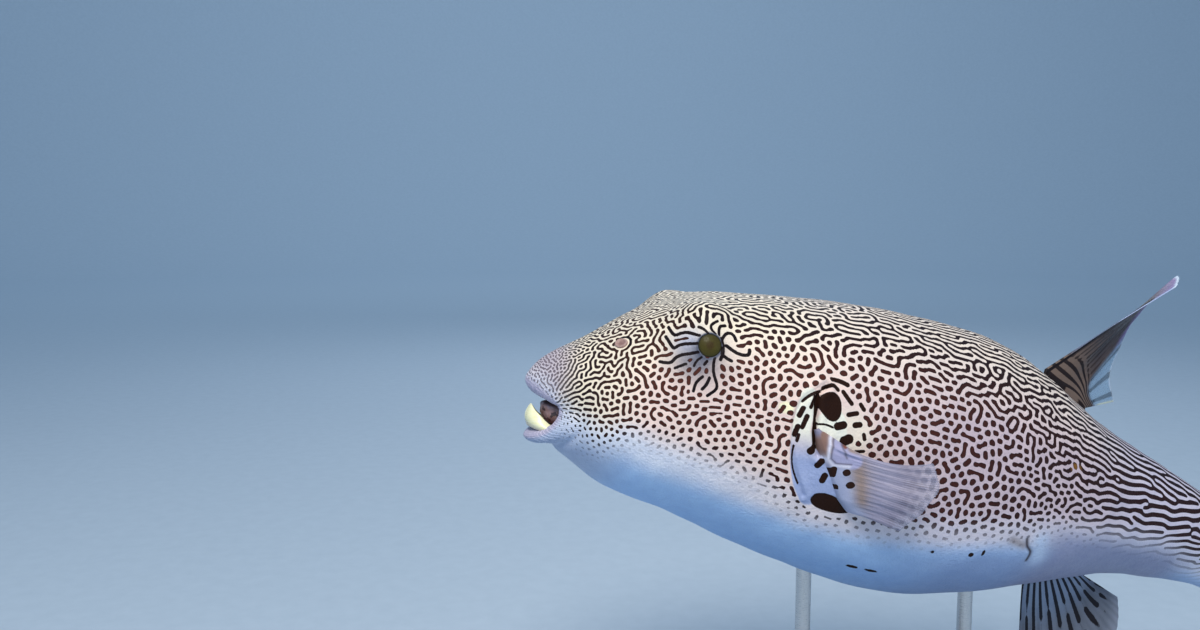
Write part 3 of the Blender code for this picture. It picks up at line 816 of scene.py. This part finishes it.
def marked_material(name, roughness, prickle, prickle_scale, cover=None):
    """Skin or fin: a ground and an ink colour from the mesh, parted by the sharp edge of the marks."""
    m = Nodes(name)
    mark = m.attribute("mark")
    edge = m.math("ADD", mark, m.remap(m.noise(900, 2), 0.3, 0.7, -0.1, 0.1))
    factor = m.math("MULTIPLY", m.remap(edge, -0.16, 0.22, smooth=True), m.attribute("strength"))
    mottle = m.remap(m.noise(140, 4), 0.35, 0.7, 0, 0.35)
    ground = m.blend(mottle, m.attribute("ground", "Color"), (0.7, 0.74, 0.86), "MULTIPLY")
    pores = m.remap(m.cells(950), 0.05, 0.35, 0.88, 1)
    pores = m.add("CombineColor", {"Red": pores, "Green": pores, "Blue": pores}).outputs[0]
    ground = m.blend(1, ground, pores, "MULTIPLY")
    rim = m.blend(0.8, m.attribute("ink", "Color"), (0.01, 0.006, 0.008))
    ink = m.blend(m.remap(mark, 0.2, 0.85, smooth=True), rim, m.attribute("ink", "Color"))
    inputs = {"Alpha": m.math("MAXIMUM", m.attribute(cover), factor)} if cover else {}
    return m.finish(
        ground, (((0.1, 0.11, 0.16), m.attribute("shade")), (ink, factor)),
        ((m.cells(prickle_scale), prickle), (m.noise(260, 5), 0.0003), (factor, -0.00006)),
        (m.noise(420, 3), roughness - 0.07, roughness + 0.09),
        Specular_IOR_Level=m.remap(factor, 0, 1, 0.25, 0.05), Coat_Weight=0.02, Coat_Roughness=0.35, **inputs,
    )


def eye_material():
    m = Nodes("eye_glaze")
    out, streak = m.attribute("out"), m.noise(1500, 4, 0.6)
    layers = (
        ((0.048, 0.042, 0.01), out, 0.1, 0.95),
        ((0.05, 0.038, 0.012), m.noise(160, 2), 0.42, 0.68, 0, 0.7),
        ((0.042, 0.021, 0.01), out, 0.16, 0.46, 0.7, 0, True),
        ((0.11, 0.095, 0.024), streak, 0.45, 0.75, 0, 0.25),
        ((0.012, 0.014, 0.014), out, 0.78, 1, 0, 1, True),
    )
    return m.finish(
        (0.072, 0.06, 0.012), layers, [(streak, 0.00004)], (streak, 0.42, 0.55),
        Specular_IOR_Level=0.1, Coat_Weight=0.06, Coat_Roughness=0.12,
    )


def beak_material():
    m = Nodes("beak_enamel")
    growth = m.noise(700, 4, 0.6, m.stretched((0.35, 0.35, 2.2)))
    layers = (
        ((0.98, 0.97, 0.8), growth, 0.35, 0.65, 0, 0.5),
        ((0.55, 0.46, 0.4), m.attribute("out"), 0, 0.35, 0.75, 0, True),
        ((0.8, 0.72, 0.36), m.noise(120, 3), 0.52, 0.72, 0, 0.35),
    )
    bumps = ((growth, 0.00018), (m.noise(2400, 3), 0.00003))
    rough = (growth, 0.24, 0.36)
    return m.finish((0.97, 0.94, 0.56), layers, bumps, rough, Coat_Weight=0.25, Coat_Roughness=0.15)


def flesh_material():
    m = Nodes("nostril_flesh")
    patch = m.noise(800, 4)
    layers = (((0.34, 0.21, 0.19), patch, 0.35, 0.7), ((0.24, 0.13, 0.12), m.attribute("out")))
    return m.finish((0.5, 0.33, 0.29), layers, [(patch, 0.0003)], (patch, 0.38, 0.5), Coat_Weight=0.1)


def mouth_material():
    m = Nodes("mouth_flesh")
    patch = m.noise(420, 4)
    layers = (
        ((0.52, 0.36, 0.38), patch, 0.35, 0.65),
        ((0.03, 0.018, 0.028), m.noise(260, 2), 0.6, 0.66, 0, 0.85),
        # Painted shade: near black in the gape and over the roof, where out is high.
        ((0.012, 0.006, 0.009), m.attribute("out"), 0.2, 0.9, 0, 0.9),
    )
    bumps, rough = [(patch, 0.0005)], (patch, 0.32, 0.5)
    return m.finish((0.4, 0.205, 0.175), layers, bumps, rough, Coat_Weight=0.25, Coat_Roughness=0.2)


def wood_material():
    m = Nodes("oiled_walnut")
    grain = m.noise(34, 6, 0.62, m.stretched((0.35, 4.5, 4.5)))
    pores = m.noise(420, 3, 0.6, m.stretched((0.08, 3, 3)))
    layers = (((0.16, 0.085, 0.045), grain, 0.32, 0.68), ((0.018, 0.01, 0.007), pores, 0.55, 0.75, 0, 0.7))
    bumps, rough = ((pores, -0.00025), (grain, 0.0003)), (grain, 0.32, 0.46)
    return m.finish((0.045, 0.024, 0.013), layers, bumps, rough, Coat_Weight=0.2, Coat_Roughness=0.2)


def steel_material():
    m = Nodes("brushed_steel")
    brushing = m.noise(260, 4, 0.6, m.stretched((1, 1, 14)))
    layers = [((0.66, 0.67, 0.68), brushing, 0.3, 0.7)]
    return m.finish((0.5, 0.51, 0.53), layers, [(brushing, 0.00006)], (brushing, 0.24, 0.4), Metallic=1)


def floor_material():
    m = Nodes("pale_floor")
    grain = m.noise(60, 3)
    layers = [((0.5, 0.59, 0.69), grain, 0.3, 0.7)]
    return m.finish((0.47, 0.56, 0.66), layers, [(grain, 0.0002)], Roughness=0.65)


# ---- Colours of the skin ----
def painted(base, *layers):
    """The base colours with layers of (colour, share) laid over them in turn."""
    for colour, share in layers:
        base = mix(base, np.array(colour), share[..., None])
    return base


def colours_of_skin(mark, dark, band, above, rise):
    """Ground and ink colours, marks with their strength, and shade, for each point of the skin."""
    x, z = X * 1000, Z * 1000
    above = above + 8 * ramp(x, 50, 32) * ramp(x, 4, 18)
    band = ramp(band, -0.4, 0.6)
    by_fin = np.hypot((x - 156) / 14, (z - 27) / 13)
    cheek = np.hypot((x - 121) / 4.4, (z - 33) / 3.4)
    ground = painted(
        np.ones(SKIN.shape) * (0.92, 0.8, 0.64),
        ((0.9, 0.77, 0.67), ramp(x, 90, 160)),
        ((0.9, 0.69, 0.62), ramp(rise, 0.85, 0.25) * ramp(x, 25, 60)),
        ((0.58, 0.46, 0.51), ramp(x, 130, 230) * ramp(rise, 0.95, 0.3)),
        ((0.66, 0.6, 0.71), ramp(x, 290, 380)),
        ((0.58, 0.51, 0.57), ramp(x, 24, 8)),
        # The next five layers grade the belly from a pale band just under the marks to darker blue under the
        # chin, further down and towards the tail: the belly's own pale colour with painted shade, as under
        # light from above.
        ((0.78, 0.82, 0.94), ramp(above, 24, 6) * mix(0.45, 0.95, ramp(x, 150, 60))),
        ((0.42, 0.62, 0.92), ramp(above, 6, -10)),
        ((0.32, 0.53, 0.88), ramp(above, -8, -30)),
        ((0.42, 0.5, 0.68), ramp(x, 62, 30) * ramp(above, 14, -4)),
        ((0.27, 0.38, 0.62), ramp(x, 180, 260) * ramp(above, 2, -12)),
        ((0.28, 0.31, 0.47), ramp(x, 270, 310) * ramp(above, 18, 0) * ramp(x, 440, 400)),
        ((0.88, 0.79, 0.66), 0.8 * ramp(by_fin, 1.3, 0.5)),
        ((0.88, 0.86, 0.74), band * ramp(Z, 0.01, 0.026)),
        ((0.37, 0.44, 0.68), band * ramp(Z, 0.026, 0.006)),
        ((1, 0.92, 0.62), ramp(cheek, 1.2, 0.6) * (Y < 0)),
    )
    for side in SIDES:
        ground = painted(
            ground,
            ((0.52, 0.64, 0.84), 0.8 * bump(near_path(side, CREASE_BLOTCH), 0, 0.006)),
            # A darker brown-grey patch just ahead of the flank crease.
            ((0.26, 0.21, 0.2), 0.7 * bump(near_path(side, CREASE_DARK_PATCH, 0.008), 0, 0.0026)),
            # Painted shade: near black along the flank crease.
            ((0.03, 0.018, 0.024), bump(near_path(side, FLANK_CREASE), 0, 0.001)),
        )
    ground = painted(
        ground,
        ((0.5, 0.47, 0.62), ramp(SKIN_ALONG, KNOTS[5], KNOTS[4])),
        # Inside the lips the lining darkens to red-brown and then near black towards the throat: its flesh
        # colour with painted shade deepening into the mouth.
        ((0.16, 0.06, 0.058), ramp(SKIN_ALONG, KNOTS[3] + 0.0015, KNOTS[2] + 0.005)),
        ((0.012, 0.006, 0.008), ramp(SKIN_ALONG, KNOTS[2] + 0.002, KNOTS[1])),
    )
    low = above - 12 * ramp(x, 36, 60) * ramp(x, 150, 110) - 6 * ramp(x, 270, 300) * ramp(x, 430, 390)
    warm = ramp(rise, 0.85, 0.45) * ramp(x, 30, 60) * mix(0.2, 1, ramp(x, 300, 180))
    warm *= mix(0.8, 1, ramp(x, 160, 130))
    rust = np.hypot((x - 300.5) / 4.5, (z - 34) / 2.6)
    ink = painted(
        np.ones(SKIN.shape) * (0.02, 0.011, 0.013),
        ((0.042, 0.018, 0.014), ramp(x, 22, 36) * ramp(x, 75, 55)),
        ((0.074, 0.022, 0.017), warm),
        ((0.08, 0.055, 0.08), ramp(x, 17, 6)),
        ((0.07, 0.08, 0.15), ramp(low, 10, -4)),
        ((0.022, 0.009, 0.006), ramp(dark, -0.6, 0) * ramp(x, 110, 120)),
        ((0.2, 0.09, 0.02), ramp(rust, 1.2, 0.7) * (Y < 0)),
        ((0.012, 0.008, 0.01), ramp(dark, -0.6, 0) * ramp(x, 110, 100)),
    )
    mark = np.clip(np.maximum(mark - 0.85 * ramp(low, 24, 0), dark), -MARK_LIMIT, MARK_LIMIT)
    strength = ramp(low, -10, mix(9, 16, ramp(x, 150, 220)))
    strength *= ramp(SKIN_ALONG, KNOTS[4], mix(KNOTS[4], KNOTS[5], 0.65))
    strength *= mix(0.75, 1, ramp(x, 6, 22))
    strength = np.maximum(strength, ramp(dark, -0.9, -0.3))
    shade = np.zeros(X.shape)
    for side in SIDES:
        gap = length((SKIN - EYE_SHADE_AT * (1, side, 1)) / (1.35, 1, 1))
        shade += 0.95 * bump(gap, 0, 0.0115)
        centre, axis = eye_place(side)
        height = (SKIN - centre) @ axis
        lid = np.sqrt(((SKIN - centre) ** 2).sum(-1) - height**2)
        shade += 0.9 * bump(lid, EYE_OPENING, 0.0013) * (height > 0)
        gap = length(SKIN - EYE_GLEAM_AT * (1, side, 1))
        ground = painted(ground, ((0.62, 0.64, 0.8), 0.9 * bump(gap, 0, 0.0075)))
    return dict(ground=ground, ink=ink, strength=strength, mark=mark, shade=np.minimum(shade, 1))


size, lean, above, rise, pulls = marking_plan()
dark, clear, band = named_marks()
force = np.where(dark > 0, PIN_FORCE, np.where(clear > 0, -PIN_FORCE, 0)).astype(np.float32)
raw = grow(tangent_weights(size, pulls), tangent_weights(size, ()), lean.astype(np.float32), force)
# how far the dark marks spread past the edge that they grew to
swell = mix(0.25, 0.52, ramp(-lean, 0.1, 0.45)) + 0.06 * ramp(rise, 0.6, 0.9)
swell += 0.14 * ramp(X, 0.15, 0.2) * ramp(X, 0.32, 0.28) * ramp(rise, 0.95, 0.7)
sharpness = mix(GROWTH_GAIN, SNOUT_GAIN, ramp(X, 0.04, 0.018))
mark = np.maximum(np.minimum(sharpness * raw + lean + swell, -clear), dark)
coat = colours_of_skin(np.clip(mark, -MARK_LIMIT, MARK_LIMIT), dark, band, above, rise)
points = folded() - SKIN_INSET * NORMALS
for side in SIDES:
    points = with_open_eye(points, side)
made = capped_tube("skin", points, points[[0, -1]].mean(axis=1), coat, mix(0.002, 0.998, ALONG / ALONG[-1]))
coat_material = marked_material("puffer_skin", 0.5, 0.00022, 750)
piece("skin", made, coat_material, ("head", "trunk", "tail_stalk"))

# ---- Colours of the fins ----
# foot, face and edge colours
FIN_LOOKS = {
    "dorsal_fin": ((0.15, 0.105, 0.085), (0.068, 0.052, 0.055), (0.27, 0.2, 0.42)),
    "anal_fin": ((0.3, 0.37, 0.5), (0.17, 0.19, 0.24), (0.26, 0.28, 0.36)),
    "caudal_fin": ((0.42, 0.37, 0.44), (0.26, 0.25, 0.33), (0.46, 0.46, 0.54)),
    "pectoral_fin": ((0.42, 0.45, 0.62), (0.36, 0.34, 0.46), (0.42, 0.42, 0.56)),
}
# Painted folds at the foot of the pectoral fin, as (x, z) paths in mm, guided by points read
# off the photo.  Along their ridge runs a painted highlight, and their creases hold painted shade.
PALE_LEAF = ((150.5, 20), (154, 15.5), (160, 14.6))
RUST_LINE = ((148.5, 26), (154, 21))
FOOT_KNOB = ((144, 25), (146.5, 17))
RIDGE_HIGHLIGHT = ((144.6, 28), (147.4, 20), (149.2, 13.8), (152.4, 11.6), (159, 12))
SHADED_FOOT_CREASES = (
    ((145.8, 28), (148.6, 20), (150.2, 14.8), (153, 12.8), (159.5, 13.2)),
    ((149.5, 25.5), (153, 20), (156.5, 16)),
)


def path_gap(places, path):
    """Distance of (x, z) places from a path of straight runs, all in mm."""
    return np.min([segment_gap(places, *ends) for ends in zip(path, path[1:])], axis=0)


def stripes(phase, weight):
    return np.cos(2 * math.pi * phase) + weight


def broken_rows(rows, count, shift, across, out):
    """High where the stripes between the rays of a fin are broken, in a different place on each."""
    return np.cos(2 * math.pi * (rows * out + shift * np.floor(count * across + 0.5)))


def fin_colours(kind, faces, ray, out, across):
    """Ground and ink colours, marks with their strength, shade and cover, for each point of a fin."""
    foot, face, edge = (np.array(colour) for colour in FIN_LOOKS[kind])
    places = faces.mean(axis=0)[..., [0, 2]] * 1000
    x, z = np.moveaxis(places, -1, 0)
    ground = mix(foot, face, ramp(out, 0.1, 0.45)[..., None])
    ground = painted(ground, (edge, ramp(out, 0.72, 1)))
    ground = ground * (1 - 0.25 * ray * ramp(out, 0.1, 0.4))[..., None]
    ink = np.ones(ground.shape) * (0.012, 0.01, 0.013)
    if kind == "dorsal_fin":
        base = stripes(5.2 * out / 0.32 - 0.7 * across + 0.25 * np.sin(6 * across), -0.2)
        lengthwise = stripes(12.5 * across + 0.12 * np.sin(11 * out), -0.35)
        turn = ramp(out + 0.25 * (0.5 - across), 0.2, 0.34)
        mark = mix(base, lengthwise - 1 * ramp(out, 0.35, 0.75), turn)
        front = ramp(across, 0.075, 0.055) * ramp(across, 0.008, 0.02) * ramp(out, 0.86, 0.78)
        mark, strength = np.maximum(mark, 2.4 * front - 1.2), np.maximum(mix(0.95, 0.6, turn), front)
        rear = ramp(across + 0.1 * out, 0.7, 0.82) * ramp(out, 0.22, 0.4)
        mark = mix(mark, stripes(8.5 * across, -0.55), rear)
        cover = 1 - 0.6 * rear
        ground = painted(
            ground,
            ((0.17, 0.3, 0.46), rear),
            # Painted highlight: pale blue along the leading edge.
            ((0.4, 0.48, 0.72), ramp(across, 0.022, 0.01) * ramp(out, 0.15, 0.3)),
            ((0.55, 0.6, 0.46), ramp(across, 0.978, 0.99) * ramp(out, 0.3, 0.5)),
            ((0.62, 0.72, 0.86), ramp(out, 0.965, 0.99)),
        )
    elif kind == "anal_fin":
        mark = stripes(11 * across + 0.1 * np.sin(9 * out + 5 * across), -0.15) - 1.4 * ramp(out, 0.55, 0.85)
        mark = mark - 0.9 * ramp(broken_rows(2.6, 11, 0.37, across, out), 0.5, 0.9) * ramp(out, 0.1, 0.3)
        strength, cover = 0.95 + 0 * out, 1 - 0.25 * ramp(out, 0.6, 0.9)
    elif kind == "caudal_fin":
        mark = stripes(10 * across + 0.08 * np.sin(7 * out), -0.15) - 1 * ramp(out, 0.7, 0.95)
        mark = mark - 1.2 * ramp(broken_rows(4.5, 10, 0.41, across, out), 0.3, 0.8) * ramp(out, 0.15, 0.45)
        strength, cover = 0.9 + 0 * out, np.ones(out.shape)
    else:
        # Painted shade in the creases of the folds.
        crease_shades = [((0.1, 0.09, 0.13), 0.75 * bump(path_gap(places, path), 0, 0.45)) for path in SHADED_FOOT_CREASES]
        ground = painted(
            ground,
            ((0.31, 0.22, 0.18), 0.9 * bump(out, 0.27, 0.1) * ramp(across, 0.95, 0.75)),
            ((0.26, 0.25, 0.36), ramp(z, 8, 14) * ramp(x, 158, 151)),
            ((0.4, 0.39, 0.58), ramp(path_gap(places, PALE_LEAF), 4.6, 3)),
            ((0.22, 0.08, 0.06), ramp(path_gap(places, RUST_LINE), 1.5, 0.6)),
            ((0.26, 0.15, 0.12), ramp(path_gap(places, FOOT_KNOB), 3.6, 2)),
            # Painted highlight along the ridge of the folds.
            ((0.72, 0.7, 0.82), bump(path_gap(places, RIDGE_HIGHLIGHT), 0, 0.9)),
            *crease_shades,
        )
        mark = 1.3 * ray * (0.6 + 0.4 * np.sin(23 * across)) - 0.8 - 0.7 * ramp(out, 0.75, 0.45)
        strength = 0.5 * ramp(out, 0.28, 0.4)
        for half, *path in (*FIN_FOOT_SPOTS, FIN_FOOT_LINE):
            gap = path_gap(places, np.reshape(path, (-1, 2)))
            mark = np.maximum(mark, np.clip((half - gap) / 0.4, -1, 1))
            ink = painted(ink, ((0.03, 0.013, 0.009), ramp(gap, half + 1.5, half + 1)))
            strength = np.maximum(strength, ramp(gap, half + 0.8, half + 0.3))
        cover = 1 - 0.6 * ramp(out, 0.5, 0.95) * (1 - 0.35 * ray)
    mark, shade = np.clip(mark, -1, 1), 0 * out
    return dict(ground=ground, ink=ink, strength=strength, mark=mark, shade=shade, cover=cover)


fin_coat = marked_material("fin_skin", 0.42, 0.00008, 1400, "cover")
for name, sizes in FINS.items():
    for side, ending in ((-1, "_left"), (1, "_right")) if name == "pectoral_fin" else ((1, ""),):
        faces, ray, out, across = fin_shape(**sizes, side=side)
        made = fin_mesh(name + ending, faces, fin_colours(name, faces, ray, out, across))
        piece("rayed_" + name + ending, made, fin_coat, (name + ending,))


# ---- Eyes, nostrils and beak ----
EYE_GLAZE, FLESH, ENAMEL = eye_material(), flesh_material(), beak_material()


def two_lobes(radius, height, angle):
    """A nostril cup drawn out into two lobes."""
    lobe = np.cos(2 * angle)
    return radius * (1 + 0.12 * lobe), np.where(height > 0.0005, height * (0.86 + 0.14 * lobe), height)


# radius and height in mm
NOSTRIL_CUP = (
    (0, -1), (3, -0.9), (3.4, -0.2), (3.4, 0.2), (3.5, 0.5), (3.4, 0.9),
    (2.9, 1.1), (2.5, 0.9), (2.1, 0.5), (1.5, 0.3), (0.8, 0.4), (0, 0.5),
)
CUP_OUTER, CUP_INNER, CUP_AROUND, EYE_AROUND = 26, 19, 48, 72
cup = smooth_path(NOSTRIL_CUP, CUP_OUTER + CUP_INNER) / 1000
cup[[0, -1], 0] = 0
cup_depth = np.concatenate([np.zeros(CUP_OUTER), np.linspace(0, 1, CUP_INNER)])
arc = np.linspace(math.pi, 0, 49)
ball = EYE_RADIUS * np.stack([np.sin(arc), np.cos(arc)], 1)
ball_out = np.where(ball[:, 1] > 0, ball[:, 0] / EYE_OPENING, 3)
for side, ending in ((-1, "left"), (1, "right")):
    made = turned("eyeball", ball, EYE_AROUND, *eye_place(side), ball_out)
    piece("eyeball_" + ending, made, EYE_GLAZE, ("eye_" + ending,))
    where = np.argmin(length(SKIN - NOSTRIL_AT * (1, side, 1)))
    foot, up = SKIN.reshape(-1, 3)[where], NORMALS.reshape(-1, 3)[where]
    made = turned("nostril", cup, CUP_AROUND, foot, up, cup_depth, two_lobes)
    piece("nostril_cup_" + ending, made, FLESH, ("nostril_" + ending,))

JAW_HALF_WIDTH, JAW_DEPTH, TOOTH_THICK, FACE_LEAN = 0.015, 0.017, 0.0036, 0.25


def beak(name, gum, edge, front, node):
    """A fused pair of teeth round the jaw, with a groove where the two meet and a worn edge."""
    # each place is a share of the thickness and of the way from gum to edge
    outline = (
        (0.1, 0), (0.5, 0), (1, 0), (1.02, 0.25), (1.02, 0.5), (0.98, 0.85), (0.86, 1), (0.66, 0.97),
        (0.28, 0.77), (-0.08, 0.5), (-0.11, 0.25), (0.1, 0),
    )
    ring = smooth_path(outline, 44, endpoint=False)
    angles = np.radians(np.linspace(-72, 72, 121))[:, None]
    groove = bump(angles, 0, 0.03)
    inward = TOOTH_THICK * ring[:, 0] + 0.0006 * groove * ramp(ring[:, 0], 0.6, 0)
    level = ring[:, 1] * (1 - 0.16 * groove - 0.03 * np.sin(9 * angles) * ramp(ring[:, 1], 0.6, 1))
    height = gum + (edge - gum) * level * (1 - 0.7 * np.sin(angles) ** 2)
    x = front + JAW_DEPTH - (JAW_DEPTH - inward) * np.cos(angles)
    y = (JAW_HALF_WIDTH - inward) * np.sin(angles)
    grid = np.stack([x - FACE_LEAN * height, y, height], -1)
    made = outward(capped_tube(name, grid, grid[[0, -1]].mean(axis=1), {"out": np.clip(level, 0, 1)}))
    piece(name, made, ENAMEL, (node,))


beak("tooth_plate_upper", 0.0095, 0.005, 0.003, "beak_upper")
beak("tooth_plate_lower", -0.015, -0.003, -0.0008, "beak_lower")


def mouth_tissue():
    """The soft inside of the mouth: a rounded mass behind the teeth with a gape across it, the gape and the
    roof painted near black as shade.
    """
    floor_z, roof_z, back_x, gape_z = -0.0125, 0.0065, 0.0205, 0.0012
    turn = np.linspace(-math.pi, math.pi, 96, endpoint=False)
    lift = np.cos(math.pi * np.linspace(0, 1, 61)[1:-1, None])
    z = mix(floor_z, roof_z, (1 - lift) / 2)
    gape = bump(z, gape_z, 0.0016)
    girth = np.sqrt(1 - np.abs(lift) ** 3) - 0.3 * gape
    girth = girth + 0.03 * np.sin(7 * turn + 3 * z / 0.004) * bump(z, -0.006, 0.004)
    z = z + 0 * turn
    x = back_x - 0.013 * girth * np.cos(turn) - FACE_LEAN * z
    grid = np.stack([x, 0.0108 * girth * np.sin(turn), z], -1)
    ends = np.array(((back_x, 0, floor_z), (back_x, 0, roof_z)))
    # Painted shade: the gape and the roof above it are marked to go near black.
    depth = np.maximum(gape, ramp(z, 0.0005, 0.004))
    made = outward(capped_tube("mouth", grid, ends, {"out": depth}))
    piece("mouth_tissue", made, mouth_material(), ())


mouth_tissue()

# ---- The stand ----
WOOD, STEEL = wood_material(), steel_material()
for node, material in (("stand_base", WOOD), ("stand_rod_front", STEEL), ("stand_rod_rear", STEEL)):
    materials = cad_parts[node].data.materials
    materials.clear()
    materials.append(material)


# ---- Floor, light and camera ----
def sweep():
    """A round studio floor whose rim curves up into a wall."""
    flat, bend, top, around = 5, 3, 4.5, 96
    profile = [(r, 0) for r in (0.4, 1, 2, 3, 4, flat)]
    rising = np.linspace(0.08, math.pi / 2, 18)
    profile += [(flat + bend * math.sin(t), bend - bend * math.cos(t)) for t in rising]
    profile += [(flat + bend, top)]
    turn = np.linspace(0, 2 * math.pi, around, endpoint=False)
    grid = np.array([[(r * math.cos(t), r * math.sin(t), z) for t in turn] for r, z in profile])
    k = np.arange(around)
    middle = np.stack([np.full(around, grid.size // 3), k, np.roll(k, -1)], 1)
    faces = [ring_faces(len(profile), around)[:, ::-1], middle]
    return mesh_of("floor", np.concatenate([grid.reshape(-1, 3), [(0, 0, 0)]]), faces)


floor = placed("floor", sweep())
floor.data.materials.append(floor_material())


def light(name, place, aim, size, power, colour):
    lamp = bpy.data.lights.new(name, "AREA")
    lamp.shape, lamp.size, lamp.energy, lamp.color = "DISK", size, power, colour
    obj = placed(name, lamp)
    obj.location = place
    obj.rotation_euler = (Vector(aim) - Vector(place)).to_track_quat("-Z", "Y").to_euler()


light("key", (-0.45, -1.15, 1.7), (0, 0, 0.24), 0.9, 34, (1, 0.95, 0.86))
light("fill", (1.4, -1.6, 0.8), (0.05, 0, 0.2), 1.4, 4, (0.88, 0.94, 1))
light("wash", (0.5, 3, 4.2), (0.5, 8, 2.2), 2, 70, (0.8, 0.92, 1))
light("back", (0.4, 1.8, 1.5), (0, 0, 0.25), 1.2, 9, (0.9, 0.95, 1))
world = bpy.data.worlds.new("studio")
world.use_nodes = True
sky = world.node_tree.nodes["Background"].inputs
sky["Color"].default_value = (0.5, 0.74, 1, 1)
sky["Strength"].default_value = 0.46
bpy.context.scene.world = world
bpy.context.scene.view_settings.view_transform = "Standard"

# The lens and the angles were chosen.  A helper program worked out the place from them, from a
# distance and from where the snout lies in the picture.
camera = bpy.data.cameras.new("camera")
camera.lens, camera.sensor_width, camera.clip_start = 31.2, 36, 0.01
camera_object = placed("camera", camera)
camera_object.location = (-0.2738, -0.5664, 0.3676)
camera_object.rotation_euler = (math.radians(84), 0, math.radians(-11))
bpy.context.scene.camera = camera_object
